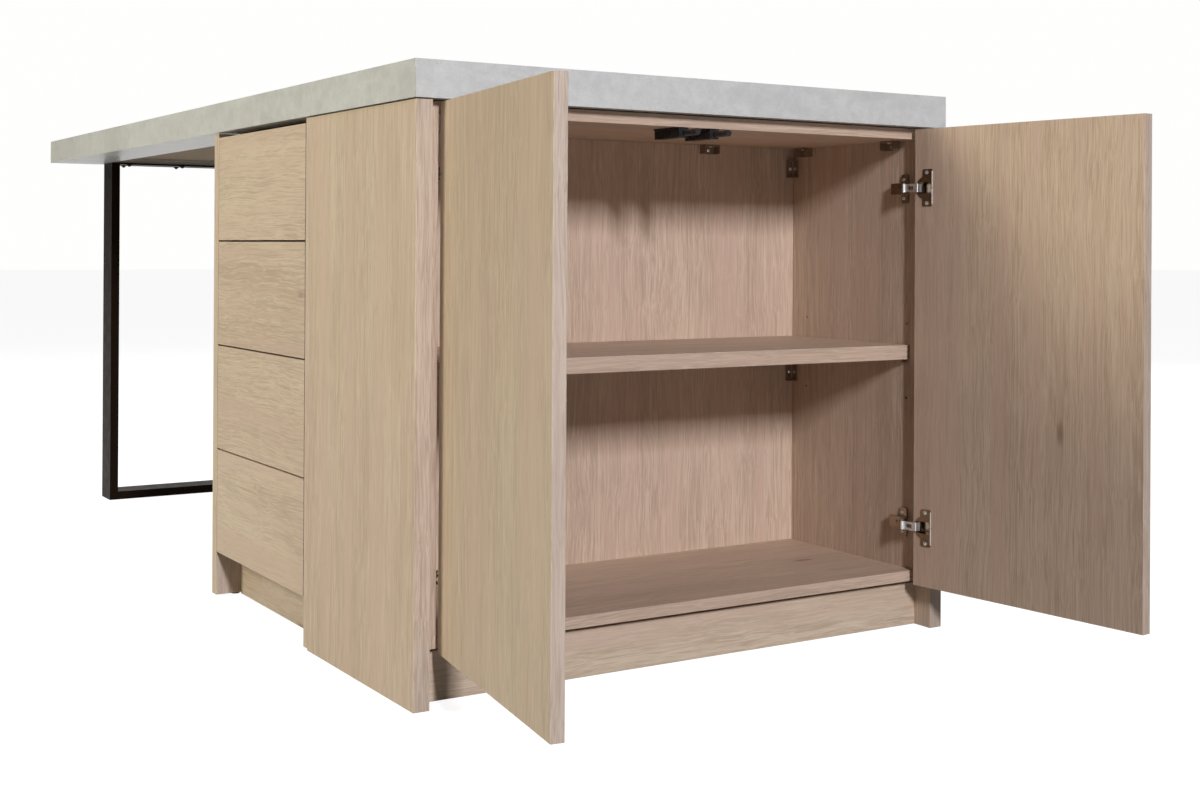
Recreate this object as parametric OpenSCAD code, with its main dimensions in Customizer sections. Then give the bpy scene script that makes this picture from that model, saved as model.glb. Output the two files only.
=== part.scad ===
// Kitchen island: a drawer stack and a two-door cupboard between oak panels,
// under a stone-look worktop that runs on as a bar to a black steel hoop leg.
// Drawn from the worktop's near left corner on the floor: x across the door
// end, y along the island. at_origin() then moves it to the middle of the
// end kickboard's foot.

/* [Worktop] */
// Width of the worktop, across the door end
top_w = 984; // [880:2:1200]
// Length of the worktop
top_l = 2276; // [1900:2:2800]
// Height of the finished worktop above the floor
top_h = 910; // [870:1:950]
// Height of the worktop's edge
edge_h = 54; // [44:1:70]
// Thickness of the stone-look sheet
sheet_t = 12; // [8:1:14]
// Width of the strips under the worktop's rim
rim_w = 120; // [90:1:160]
// Overhang of the worktop over the panels
overhang = 3; // [2:1:20]
// Shadow gap between panels and worktop
shadow_gap = 2; // [1:0.5:4]

/* [Boards] */
// Thickness of the end panels
panel_t = 25; // [20:1:30]
// Thickness of carcass boards, doors and drawer fronts
board_t = 18; // [16:1:19]
// Thickness of back panels
back_t = 8; // [6:1:10]
// Hairline between boards that meet
hairline = 0.2; // [0.1:0.05:0.4]
// Diameter of an edge's small round
edge_round = 2; // [1:0.5:3]

/* [Door cupboard] */
// Depth of the end panels, front to rear
cupboard_d = 415; // [400:1:500]
// Height of the carcass bottom above the floor
plinth_h = 80; // [70:1:110]
// Depth of the space in front of the back panel
inner_d = 348; // [330:1:370]
// Thickness of the shelf
shelf_t = 25; // [18:1:28]
// Height of the shelf's lower face
shelf_z = 458; // [420:1:520]
// Set-back of the shelf from the carcass front
shelf_set = 15; // [10:1:30]
// Diameter of the shelf pin holes
pin_d = 5; // [4:0.5:6]
// Depth of the shelf pin holes
pin_hole_depth = 12; // [9:1:13]
// Height step of the shelf pin holes
pin_pitch = 64; // [32:32:96]
// Distance of the front hole column from the carcass front
pin_front = 22; // [20:1:37]
// Distance of the rear hole column from the carcass front
pin_rear = 304; // [260:1:310]
// Height of the kickboards
kick_h = 72; // [60:1:76]
// Set-back of the end kickboard from the panels' front
kick_set = 40; // [30:1:60]
// Set-back of the side kickboard from the drawer fronts
side_kick_set = 47; // [30:1:60]

/* [Doors] */
// Opening angle of the left door as it stands
door_left_open = 98.5; // [0:0.5:98.5]
// Opening angle of the right door as it stands
door_right_open = 96; // [0:0.5:98.5]
// Gap between the closed doors
door_mid_gap = 5; // [3:0.5:8]
// Gap between a door's hinge edge and the end panel
door_side_gap = 2; // [2:0.5:3]
// Gap between closed door and carcass
door_rear_gap = 3; // [3:0.5:4]
// Distance of a door's lower edge below the carcass bottom board's lower face
door_drop = 3; // [2:0.5:6]
// Gap between a door's upper edge and the worktop
door_top_gap = 4; // [3:0.5:6]
// Height of a hinge from the door's end
hinge_end = 100; // [80:1:140]

/* [Hinges] */
// Diameter of the hinge cup
cup_d = 35; // [34:0.5:35]
// Depth of the hinge cup
cup_depth = 12; // [11.5:0.1:12.5]
// Distance of the cup's centre from the door's edge
cup_inset = 22.5; // [22:0.1:23]
// Wall of the cup
cup_wall = 0.8; // [0.6:0.1:1]
// Spacing of the cup's two screws
cup_screws = 52; // [48:1:54]
// Height of the link between arm and cup
link_h = 14; // [11:0.5:15]
// Thickness of the link
link_t = 3; // [2:0.2:3]
// Diameter of the arm's pin
arm_pin_d = 3.2; // [2.4:0.2:3.2]
// Running clearance round the arm's pin
pin_play = 0.06; // [0.03:0.01:0.09]
// Spacing of the mounting plate's two screws
plate_screws = 32; // [28:1:36]
// Distance of the plate's screws from the carcass front
plate_inset = 28; // [27:1:30]

/* [Latches] */
// Distance of each push latch from the unit's centre line
latch_x = 29; // [20:1:60]
// Travel of the plunger
latch_travel = 34.8; // [20:0.1:36]
// Diameter of the plunger
plunger_d = 10; // [8:0.5:11]
// Side of the latch housing's square section
latch_s = 16; // [15:0.5:18]
// Length of the latch housing
latch_l = 72; // [70:1:90]

/* [Drawers] */
// Clear width between the two boards that carry the drawers
drawer_bay = 456; // [400:1:600]
// Gap round the drawer fronts
front_gap = 3; // [2:0.5:5]
// Number of drawers
drawers = 4; // [4:1:4]
// Gap between the top front and the worktop
front_top_gap = 10; // [6:1:14]
// Lift of the lowest front above the carcass bottom
front_lift = 3; // [1:0.5:8]
// Length of drawer box and runners
box_l = 500; // [400:10:550]
// Space behind the drawer boxes
runner_reach = 40; // [25:1:60]
// Depth of the rails over the drawers
rail_d = 100; // [60:1:140]
// Height of the drawer box
box_h = 120; // [90:1:140]
// Thickness of the drawer box boards
box_t = 13; // [12:0.5:16]
// Space for a runner beside the drawer box
runner_gap = 12.8; // [12.6:0.1:13.4]
// Height of the runner's cabinet member
runner_h = 45; // [42:1:48]
// Sheet thickness of the runners
runner_t = 1.4; // [1:0.1:1.6]
// Lift of the unit's panels on their glides
panel_lift = 3; // [2:1:6]

/* [Leg] */
// Thickness of the leg's bar
leg_t = 20; // [15:1:30]
// Width of the leg's bar along the island
leg_d = 80; // [60:1:100]
// Distance of the leg from the worktop's far end
leg_end = 46; // [30:1:100]
// Distance of the leg's outer faces from the worktop's sides
leg_side = 121.5; // [80:0.5:200]
// Thickness of the leg's top plate
plate_t = 4; // [3:0.5:6]

/* [Hidden] */
$fn = 48;

oak = "#c4ae92";
stone = "#cfcec8";
chipboard = "#8a7860";
steel = "#c9ccd0";
black = "#1c1c1e";
plastic_brown = "#5a4030";
eps = 0.01;

under_z = top_h - edge_h;             // worktop's underside
panel_top = under_z - shadow_gap;
side_x = overhang;                    // outer face of panels and fronts
inner_x = side_x + panel_t;           // inner face of the left end panel
mid_x = top_w / 2;
rear_x = top_w - inner_x;             // inner face of the far long side's panel
front_y = overhang;                   // front of end panels and closed doors
carcass_y = front_y + board_t + door_rear_gap;
carcass_in_x = inner_x + board_t;
carcass_end_y = front_y + cupboard_d; // rear of the end panels
back_y = carcass_y + inner_d;
part_y = carcass_end_y;               // partition's near face
bay_y = part_y + board_t;             // drawer bay
bay_end_y = bay_y + drawer_bay;
origin_y = front_y + kick_set + board_t / 2;
door_z = plinth_h - door_drop;
door_h = under_z - door_top_gap - door_z;
door_x = inner_x + door_side_gap;
door_w = mid_x - door_mid_gap / 2 - door_x;
door_in_y = front_y + board_t;        // closed door's inner face
// The door turns about one upright line, off its outer face by axis_y and
// in from its edge by axis_x: its inner corner then passes the carcass.
hinge_k = cup_d / 35;                 // the hinge's own sizes go with its cup
axis_x = 10.5 * hinge_k;
axis_y = 1.5 * hinge_k;
// Arm pin, from the closed door's hinge edge and inner face
arm_pin = [42.3, 4.5] * hinge_k;
link_turn = 47.1 / 98.5;              // link's turn per degree of door
// Link's knees and tip from the closed door's edge and inner face
link_knee_1 = [37.6, 3.9] * hinge_k;
link_knee_2 = [18.4, -8.4] * hinge_k;
link_tip = [13.5, -2.2] * hinge_k;
// Window through the link, in parts of the length between its knees
link_span = link_knee_2 - link_knee_1;
window_at = 0.18;
window_l = 0.5;
window_h = link_h * 0.44;
flange_t = 1.2;
flange_x = cup_inset - 4 * hinge_k;   // plate's edge beside the cup
flange_w = 21.5 * hinge_k;
flange_h = cup_screws + 11;
flange_r = 3;
lip_w = 1.8;                          // raised lip along the plate's far edge
lip_h = 1;
lip_z = 11.2;                         // where the lip starts, clear of the arm
lip_l = flange_h / 2 - flange_r - lip_z;
mouth_h = 20 * hinge_k;               // height of the cup's mouth
// Pin across the cup, from the closed door's edge and inner face
cup_pin = [cup_inset - 15 * hinge_k, -4.7 * hinge_k];
cup_pin_d = 2.4;
cup_pin_l = 17;
carcass_z = plinth_h;
carcass_top = panel_top;
top_board_z = carcass_top - board_t;
front_z = plinth_h + front_lift;
front_top = under_z - front_top_gap;
front_h = (front_top - front_z - (drawers - 1) * front_gap) / drawers;
front_w = drawer_bay - 2 * front_gap;
box_x = side_x + board_t + hairline;
bay_x = carcass_y;                    // front edge of the drawer unit's boards

// Moves the model's frame to the part's origin
module at_origin() {
    translate([-mid_x, -origin_y, 0])
        children();
}

// Draws a thing made for the left again on the right
module mirrored_x() {
    translate([top_w, 0, 0])
        mirror([1, 0, 0])
            children();
}

module both_sides() {
    children();
    mirrored_x()
        children();
}

module box(low, size) {
    translate(low)
        cube(size);
}

// A board whose four edges along its longest side are slightly rounded
module eased_board(low, size, axis) {
    r = edge_round / 2;
    // side lengths of the section, square to the axis
    s = axis == "x" ? [size.z, size.y] : axis == "y" ? [size.x, size.z] : [size.x, size.y];
    l = axis == "x" ? size.x : axis == "y" ? size.y : size.z;
    turn = axis == "x" ? [0, 90, 0] : axis == "y" ? [-90, 0, 0] : [0, 0, 0];
    shift = axis == "x" ? [0, 0, size.z] : axis == "y" ? [0, 0, size.z] : [0, 0, 0];
    translate(low + shift)
        rotate(turn)
            linear_extrude(l)
                eased_section(s, r);
}

module eased_section(s, r) {
    translate([r, 0])
        square([s.x - 2 * r, s.y]);
    translate([0, r])
        square([s.x, s.y - 2 * r]);
    for (x = [r, s.x - r], y = [r, s.y - r])
        translate([x, y])
            circle(r, $fn = 24);
}

// Countersunk or pan-head screw standing on z = 0, point down
module screw(head_d, head_h, shank_d, shank_l) {
    difference() {
        cylinder(d = head_d, h = head_h);
        for (a = [0, 90])
            rotate(a)
                translate([-head_d * 0.3, -head_d * 0.07, head_h * 0.45])
                    cube([head_d * 0.6, head_d * 0.14, head_h]);
    }
    translate([0, 0, -shank_l])
        cylinder(d = shank_d, h = shank_l + eps);
}

// ---------------------------------------------------------------- worktop

module worktop_sheet() {
    at_origin()
        color(stone)
            eased_board([0, 0, top_h - sheet_t], [top_w, top_l, sheet_t], "z");
}

module worktop_core() {
    at_origin()
        color(chipboard)
            box([sheet_t + hairline, sheet_t + hairline, under_z + sheet_t + hairline],
                [top_w - 2 * (sheet_t + hairline), top_l - 2 * (sheet_t + hairline),
                    edge_h - 2 * (sheet_t + hairline)]);
}

// One mitred edge strip, standing under the sheet
module apron(len) {
    linear_extrude(edge_h - sheet_t)
        polygon([[hairline, 0], [len - hairline, 0],
            [len - sheet_t - hairline, sheet_t], [sheet_t + hairline, sheet_t]]);
}

module worktop_aprons() {
    at_origin()
        color(stone)
            translate([0, 0, under_z]) {
                apron(top_w);
                translate([top_w, 0, 0])
                    rotate(90)
                        apron(top_l);
                translate([top_w, top_l, 0])
                    rotate(180)
                        apron(top_w);
                translate([0, top_l, 0])
                    rotate(270)
                        apron(top_l);
            }
}

module worktop_rims() {
    a = sheet_t + hairline;
    at_origin()
        color(stone)
            both_sides()
                union() {
                    box([a, a, under_z], [rim_w - a, top_l - 2 * a, sheet_t]);
                    for (y = [a, top_l - rim_w])
                        box([rim_w + hairline, y, under_z],
                            [mid_x - rim_w - 1.5 * hairline, rim_w - a, sheet_t]);
                }
}

// ---------------------------------------------------------------- panels

module end_panel_left() {
    at_origin()
        color(oak)
            eased_board([side_x, front_y, 0], [panel_t, cupboard_d - hairline, panel_top], "z");
}

module end_panel_right() {
    at_origin()
        color(oak)
            mirrored_x()
                eased_board([side_x, front_y, 0], [panel_t, cupboard_d - hairline, panel_top], "z");
}

module drawer_end_panel() {
    at_origin()
        color(oak)
            eased_board([side_x, bay_end_y, panel_lift],
                [top_w - 2 * side_x, panel_t, panel_top - panel_lift], "z");
}

module partition_panel() {
    at_origin()
        color(oak)
            eased_board([side_x, part_y, panel_lift],
                [rear_x - side_x - hairline, board_t, panel_top - panel_lift], "z");
}

module back_panel() {
    at_origin()
        color(oak)
            eased_board([rear_x, part_y, panel_lift],
                [panel_t, bay_end_y - part_y - hairline, panel_top - panel_lift], "z");
}

module panel_glides() {
    at_origin()
        color(black)
            for (x = [side_x + 40, mid_x, top_w - side_x - 60])
                for (y = [part_y + board_t / 2, bay_end_y + panel_t / 2])
                    translate([x, y, 0])
                        cylinder(d = board_t - 2, h = panel_lift);
}

// Thin levelling pads that carry the worktop over the shadow gap
module support_pads() {
    at_origin()
        color(black) {
            for (x = [inner_x + board_t / 2, top_w - inner_x - board_t / 2])
                for (y = [carcass_y + 60, back_y - 60])
                    translate([x, y, panel_top])
                        cylinder(d = board_t - 4, h = shadow_gap);
            for (x = [side_x + 80, mid_x, rear_x - 60])
                for (y = [part_y + board_t / 2, bay_end_y + panel_t / 2])
                    translate([x, y, panel_top])
                        cylinder(d = board_t - 4, h = shadow_gap);
        }
}

// ---------------------------------------------------------------- cupboard

module at_pins(rows) {
    for (y = [pin_front, pin_rear])
        for (k = rows)
            translate([carcass_in_x, carcass_y + y, shelf_z - pin_d / 2 + k * pin_pitch])
                rotate([0, 90, 0])
                    children();
}

// Places children at each bracket, corner on z with legs on +x and +y
module at_brackets() {
    for (y = [carcass_y + 60, back_y - 42])
        translate([carcass_in_x, y, top_board_z])
            rotate([-90, 0, 0])
                children();
    for (z = [shelf_z - 43, top_board_z - 38])
        translate([carcass_in_x, back_y, z])
            mirror([0, 1, 0])
                children();
    translate([carcass_in_x + bracket_mid, back_y, top_board_z])
        rotate([0, 0, -90])
            rotate([-90, 0, 0])
                children();
}

bracket_mid = 197;                    // place of the brackets over the back panel
bracket_leg = 16.5;
bracket_t = 3;
bracket_l = 33;
bracket_wall = 2;                     // end walls and their cut corner
bracket_screw_d = 3.4;
screw_clear = 0.15;

// Places children on the screw of each leg of a bracket, head outwards
module at_bracket_screws() {
    mid = (bracket_leg + bracket_t) / 2;
    translate([mid, bracket_t, 0])
        rotate([-90, 0, 0])
            children();
    translate([bracket_t, mid, 0])
        rotate([0, 90, 0])
            children();
}

module bracket_holes(length) {
    at_brackets()
        at_bracket_screws()
            translate([0, 0, -length])
                cylinder(d = bracket_screw_d + 2 * screw_clear, h = length + eps);
}

module corner_bracket() {
    difference() {
        linear_extrude(bracket_l, center = true)
            polygon([[0, 0], [bracket_leg, 0], [bracket_leg, bracket_t],
                [bracket_t + 2, bracket_t], [bracket_t, bracket_t + 2],
                [bracket_t, bracket_leg], [0, bracket_leg]]);
        at_bracket_screws()
            translate([0, 0, -bracket_t - 1])
                cylinder(d = bracket_screw_d + 2 * screw_clear, h = bracket_t + 2);
    }
    // walls that close the corner at both ends
    for (z = [-bracket_l / 2, bracket_l / 2 - bracket_wall])
        translate([0, 0, z])
            linear_extrude(bracket_wall)
                polygon([[bracket_t, bracket_t], [bracket_leg, bracket_t],
                    [bracket_leg, bracket_leg - bracket_wall],
                    [bracket_leg - bracket_wall, bracket_leg], [bracket_t, bracket_leg]]);
}

screw_reach = 11;                     // depth of screws from a fitting's outer face

module cabinet_side() {
    difference() {
        box([inner_x, carcass_y, carcass_z],
            [board_t, carcass_end_y - carcass_y - 18, carcass_top - carcass_z]);
        at_pins([-1, 0, 1])
            translate([0, 0, -pin_hole_depth])
                cylinder(d = pin_d, h = pin_hole_depth + eps);
        at_plate_screws()
            translate([0, 0, -screw_reach])
                cylinder(d = plate_screw_d + 2 * screw_clear, h = screw_reach + eps);
        bracket_holes(screw_reach + 1);
    }
}

module cabinet_side_left() {
    at_origin()
        color(oak)
            cabinet_side();
}

module cabinet_side_right() {
    at_origin()
        color(oak)
            mirrored_x()
                cabinet_side();
}

module cabinet_bottom() {
    at_origin()
        color(oak)
            box([carcass_in_x + hairline, carcass_y, carcass_z],
                [top_w - 2 * (carcass_in_x + hairline), carcass_end_y - carcass_y - 18, board_t]);
}

module cabinet_top() {
    at_origin()
        color(oak)
            difference() {
                box([carcass_in_x + hairline, carcass_y, top_board_z],
                    [top_w - 2 * (carcass_in_x + hairline), carcass_end_y - carcass_y - 18, board_t]);
                both_sides()
                    bracket_holes(screw_reach + 1);
                both_sides()
                    at_latch()
                        latch_fixings(screw_reach, latch_screw_d + 2 * screw_clear);
            }
}

module cabinet_back() {
    at_origin()
        color(oak)
            difference() {
                box([carcass_in_x + hairline, back_y, carcass_z + board_t + hairline],
                    [top_w - 2 * (carcass_in_x + hairline), back_t,
                        top_board_z - carcass_z - board_t - 2 * hairline]);
                both_sides()
                    bracket_holes(bracket_t + back_t - 1);
            }
}

module shelf() {
    at_origin()
        color(oak)
            eased_board([carcass_in_x + 1, carcass_y + shelf_set, shelf_z],
                [top_w - 2 * (carcass_in_x + 1), inner_d - shelf_set - 1, shelf_t], "x");
}

module shelf_pins() {
    at_origin()
        color(steel)
            both_sides()
                at_pins([0]) {
                    translate([0, 0, -pin_hole_depth + 2])
                        cylinder(d = pin_d - 2 * pin_play, h = pin_hole_depth - 2);
                    cylinder(d = pin_d + 3, h = 1);
                    cylinder(d = pin_d - 2 * pin_play, h = 9);
                }
}

module corner_brackets() {
    at_origin()
        color(plastic_brown)
            both_sides()
                at_brackets()
                    corner_bracket();
}

module bracket_screws() {
    at_origin()
        color(steel)
            both_sides()
                at_brackets()
                    at_bracket_screws()
                        screw(6.4, 1.8, bracket_screw_d, bracket_t + 7 - 1);
}

foot_d = 60;
stem_d = 28;

// Adjustable foot: base, threaded stem and socket plate
module cabinet_feet() {
    at_origin()
        color(black)
            both_sides()
                for (y = [carcass_y + 80, back_y - 30])
                    translate([inner_x + 60, y, 0])
                        rotate_extrude()
                            polygon([[0, 0], [foot_d / 2, 0], [foot_d / 2, 6], [stem_d / 2, 14],
                                [stem_d / 2, plinth_h - 12], [foot_d / 2 - 4, plinth_h - 6],
                                [foot_d / 2 - 4, plinth_h], [0, plinth_h]]);
}

module end_kickboard() {
    at_origin()
        color(oak)
            eased_board([inner_x + hairline, front_y + kick_set, 0],
                [top_w - 2 * (inner_x + hairline), board_t, kick_h], "x");
}

// ---------------------------------------------------------------- doors

// Turns a closed left door, drawn from its hinge edge, to its open stand
module door_pose(open) {
    translate([door_x + axis_x, front_y - axis_y, 0])
        rotate(-open)
            translate([-door_x - axis_x, -front_y + axis_y, 0])
                children();
}

module at_hinges() {
    for (z = [door_z + hinge_end, door_z + door_h - hinge_end])
        translate([door_x, door_in_y, z])
            children();
}

cup_screw_d = 3.6;
cup_screw_x = cup_inset + 5.5;

module at_cup_screws() {
    for (s = [-1, 1])
        translate([cup_screw_x, flange_t, s * cup_screws / 2])
            rotate([-90, 0, 0])
                children();
}

module door_board() {
    difference() {
        eased_board([door_x, front_y, door_z], [door_w, board_t, door_h], "z");
        at_hinges() {
            translate([cup_inset, eps, 0])
                rotate([90, 0, 0])
                    cylinder(d = cup_d + 2 * screw_clear, h = cup_depth + hairline);
            at_cup_screws()
                translate([0, 0, -screw_reach])
                    cylinder(d = cup_screw_d + 2 * screw_clear, h = screw_reach + eps);
        }
    }
}

module hinge_cup() {
    difference() {
        union() {
            translate([cup_inset, 0, 0])
                rotate([90, 0, 0])
                    cylinder(d = cup_d, h = cup_depth);
            // rim round the cup and the screwed plate beside it
            translate([cup_inset, flange_t, 0])
                rotate([90, 0, 0])
                    cylinder(d = cup_d + 2, h = flange_t);
            translate([flange_x, flange_t, -flange_h / 2])
                rotate([90, 0, 0])
                    linear_extrude(flange_t)
                        eased_section([flange_w, flange_h], flange_r);
            for (z = [lip_z, -lip_z - lip_l])
                box([flange_x + flange_w - lip_w, 0, z], [lip_w, flange_t + lip_h, lip_l]);
        }
        // mouth that the link swings in
        intersection() {
            translate([cup_inset, flange_t + eps, 0])
                rotate([90, 0, 0])
                    cylinder(d = cup_d - 2 * cup_wall, h = cup_depth + flange_t - cup_wall);
            box([cup_inset - cup_d / 2, -cup_depth, -mouth_h / 2],
                [cup_d, cup_depth + flange_t + 1, mouth_h]);
        }
        at_cup_screws()
            translate([0, 0, -flange_t - eps])
                cylinder(d = cup_screw_d + 2 * screw_clear, h = flange_t + 1);
    }
    // pin across the cup, beside the link's end
    translate([cup_pin.x, cup_pin.y, -cup_pin_l / 2])
        cylinder(d = cup_pin_d, h = cup_pin_l);
}

// Strip of the link's side view between two of its points
module strip(p, q, w) {
    d = q - p;
    translate(p)
        rotate(atan2(d.y, d.x)) {
            translate([0, -w / 2])
                square([norm(d), w]);
            translate([norm(d), 0])
                circle(d = w + 0.4, $fn = 24);
        }
}

module hinge_link() {
    difference() {
        translate([0, 0, -link_h / 2])
            linear_extrude(link_h) {
                translate(arm_pin)
                    circle(r = link_t, $fn = 32);
                strip(arm_pin, link_knee_1, link_t);
                strip(link_knee_1, link_knee_2, link_t);
                strip(link_knee_2, link_tip, link_t);
            }
        translate([arm_pin.x, arm_pin.y, -link_h / 2 - 1])
            cylinder(d = arm_pin_d + 2 * pin_play, h = link_h + 2);
        translate([link_knee_1.x, link_knee_1.y, -window_h / 2])
            rotate(atan2(link_span.y, link_span.x))
                translate([norm(link_span) * window_at, -link_t, 0])
                    cube([norm(link_span) * window_l, 2 * link_t, window_h]);
    }
}

// Turns a link, drawn with the door closed, with its door
module link_pose(open) {
    translate([door_x + arm_pin.x, door_in_y + arm_pin.y, 0])
        rotate(open * link_turn)
            translate([-door_x - arm_pin.x, -door_in_y - arm_pin.y, 0])
                children();
}

plate_h = 3;
arm_h = 1.5;
cheek_gap = 1;
arm_y = carcass_y + 17;               // where the arm bends out to its pin
arm_l = 34;
arm_screws = [17.5, 25.5];            // places along the arm, from its rear end
arm_screw_d = 6.6;
arm_screw_h = 1.6;
wing_w = 17;                          // mounting plate's wings
wing_front = 11;                      // wings' front edge, before their screws
wing_end = 9;
wing_r = 3;
plate_rail = [10, 28];                // raised rail: start before the screws, length
plate_screw_d = 3.8;

module at_plate_screws() {
    for (z = [door_z + hinge_end, door_z + door_h - hinge_end])
        for (s = [-1, 1])
            translate([carcass_in_x + plate_h, carcass_y + plate_inset, z + s * plate_screws / 2])
                rotate([0, 90, 0])
                    children();
}

// Mounting plate on the carcass side: screwed wings and the raised rail
module hinge_plate() {
    y = carcass_y + plate_inset;
    difference() {
        union() {
            translate([carcass_in_x, y - wing_front, -plate_screws / 2 - wing_end])
                rotate([90, 0, 90])
                    linear_extrude(plate_h)
                        eased_section([wing_w, plate_screws + 2 * wing_end], wing_r);
            box([carcass_in_x, y - plate_rail[0], -link_h / 2 + 1],
                [plate_h + 7, plate_rail[1], link_h - 2]);
        }
        for (s = [-1, 1])
            translate([carcass_in_x - 1, y, s * plate_screws / 2])
                rotate([0, 90, 0])
                    cylinder(d = plate_screw_d + 2 * screw_clear, h = plate_h + 2);
    }
}

// Arm: a channel over the rail with two cheeks that reach out to the pin
module hinge_arm() {
    x0 = carcass_in_x + plate_h + 0.5;
    x1 = carcass_in_x + plate_h + 9;
    y0 = arm_y;
    y1 = y0 + arm_l;
    px = door_x + arm_pin.x;
    py = door_in_y + arm_pin.y;
    cheek = link_h / 2 + cheek_gap;
    nose = 3.2;
    difference() {
        union() {
            for (s = [-1, 1])
                translate([0, 0, s > 0 ? cheek : -cheek - arm_h])
                    linear_extrude(arm_h)
                        difference() {
                            union() {
                                polygon([[x0, y1], [x1, y1], [x1, y0 + 6], [px + nose, py + 1],
                                    [px + nose, py], [px - nose, py], [px - 9, py + 4],
                                    [x0 + 1, y0 - 3], [x0, y0]]);
                                intersection() {
                                    translate([px, py])
                                        circle(r = nose, $fn = 32);
                                    translate([px - nose, py - 2.6])
                                        square([2 * nose, 2 * nose]);
                                }
                            }
                            translate([px, py])
                                circle(d = arm_pin_d + 2 * pin_play, $fn = 32);
                        }
            // web over the rail
            box([x1 - arm_h, y0 + 4, -cheek], [arm_h, y1 - y0 - 4, 2 * cheek]);
            // fixing and adjusting screws' heads on the web
            for (y = arm_screws)
                translate([x1, y1 - y, 0])
                    rotate([0, 90, 0])
                        cylinder(d = arm_screw_d, h = arm_screw_h);
        }
        for (y = arm_screws)
            translate([x1 + arm_screw_h / 2, y1 - y - arm_screw_d * 0.3, -0.5])
                cube([arm_screw_h, arm_screw_d * 0.6, 1]);
    }
    // pin through both cheeks
    translate([px, py, -cheek - arm_h])
        cylinder(d = arm_pin_d, h = 2 * (cheek + arm_h));
}

module door_left() {
    at_origin()
        color(oak)
            door_pose(door_left_open)
                door_board();
}

module door_right() {
    at_origin()
        color(oak)
            mirrored_x()
                door_pose(door_right_open)
                    door_board();
}

module hinge_cups_left() {
    at_origin()
        color(steel)
            door_pose(door_left_open)
                at_hinges()
                    hinge_cup();
}

module hinge_cups_right() {
    at_origin()
        color(steel)
            mirrored_x()
                door_pose(door_right_open)
                    at_hinges()
                        hinge_cup();
}

module cup_screws_left() {
    at_origin()
        color(steel)
            door_pose(door_left_open)
                at_hinges()
                    at_cup_screws()
                        screw(7, 1.8, cup_screw_d, screw_reach - 1);
}

module cup_screws_right() {
    at_origin()
        color(steel)
            mirrored_x()
                door_pose(door_right_open)
                    at_hinges()
                        at_cup_screws()
                            screw(7, 1.8, cup_screw_d, screw_reach - 1);
}

module hinge_links_left() {
    at_origin()
        color(steel)
            link_pose(door_left_open)
                at_hinges()
                    hinge_link();
}

module hinge_links_right() {
    at_origin()
        color(steel)
            mirrored_x()
                link_pose(door_right_open)
                    at_hinges()
                        hinge_link();
}

module at_hinge_heights() {
    for (z = [door_z + hinge_end, door_z + door_h - hinge_end])
        translate([0, 0, z])
            children();
}

module hinge_arms() {
    at_origin()
        color(steel)
            both_sides()
                at_hinge_heights()
                    hinge_arm();
}

module hinge_plates() {
    at_origin()
        color(steel)
            both_sides()
                at_hinge_heights()
                    hinge_plate();
}

module hinge_plate_screws() {
    at_origin()
        color(steel)
            both_sides()
                at_plate_screws()
                    screw(7, 1.8, plate_screw_d, screw_reach - 1);
}

// ---------------------------------------------------------------- latches

latch_screw_d = 3;
latch_play = 0.35;
latch_y = carcass_y + 4;

module at_latch() {
    translate([mid_x - latch_x, latch_y, top_board_z])
        children();
}

module latch_fixings(depth, d) {
    for (y = [latch_l * 0.2, latch_l * 0.8])
        translate([0, y, 0])
            cylinder(d = d, h = depth);
}

module latch_housing() {
    flange = 3;
    difference() {
        union() {
            box([-latch_s / 2, 0, -latch_s], [latch_s, latch_l, latch_s]);
            // front collar and screw flange
            translate([0, 0, -latch_s / 2 - 1])
                rotate([90, 0, 0])
                    cylinder(d = plunger_d + 4.5, h = 2.5);
            box([-latch_s / 2 - 6, latch_l * 0.1, -flange], [latch_s + 12, latch_l * 0.8, flange]);
        }
        translate([0, latch_l - 4, -latch_s / 2 - 1])
            rotate([90, 0, 0])
                cylinder(d = plunger_d + 2 * latch_play, h = latch_l);
        // ribs' shadow lines on the sides
        for (y = [latch_l * 0.25 : latch_l * 0.125 : latch_l * 0.9])
            for (s = [-1, 1])
                box([s * latch_s / 2 - 0.6, y, -latch_s - 1], [1.2, 2, latch_s - flange]);
    }
}

module latch_housings() {
    at_origin()
        color(black)
            both_sides()
                at_latch()
                    latch_housing();
}

plunger_l = 56;

module latch_plunger() {
    tip_y = door_in_y + 0.3 - latch_travel;
    at_latch()
        translate([0, tip_y - latch_y, -latch_s / 2 - 1])
            rotate([-90, 0, 0])
                rotate_extrude()
                    polygon([[0, 0], [plunger_d / 2 - 1, 0], [plunger_d / 2, 1],
                        [plunger_d / 2, 9], [plunger_d / 2 - 1, 10],
                        [plunger_d / 2 - 1, 12], [plunger_d / 2, 13],
                        [plunger_d / 2, plunger_l], [0, plunger_l]]);
}

module latch_plunger_left() {
    at_origin()
        color(black)
            latch_plunger();
}

module latch_plunger_right() {
    at_origin()
        color(black)
            mirrored_x()
                latch_plunger();
}

// ---------------------------------------------------------------- drawer unit

unit_d = box_l + runner_reach;        // depth of the drawer unit's boards

module drawer_unit_bottom() {
    at_origin()
        color(oak)
            box([bay_x, bay_y + hairline, plinth_h], [unit_d, drawer_bay - 2 * hairline, board_t]);
}

module drawer_unit_rails() {
    at_origin()
        color(oak)
            for (x = [bay_x + 20, bay_x + unit_d - rail_d])
                box([x, bay_y + hairline, top_board_z], [rail_d, drawer_bay - 2 * hairline, board_t]);
}

module drawer_unit_back() {
    at_origin()
        color(oak)
            box([bay_x + unit_d + hairline, bay_y + hairline, plinth_h],
                [back_t, drawer_bay - 2 * hairline, panel_top - plinth_h]);
}

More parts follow.
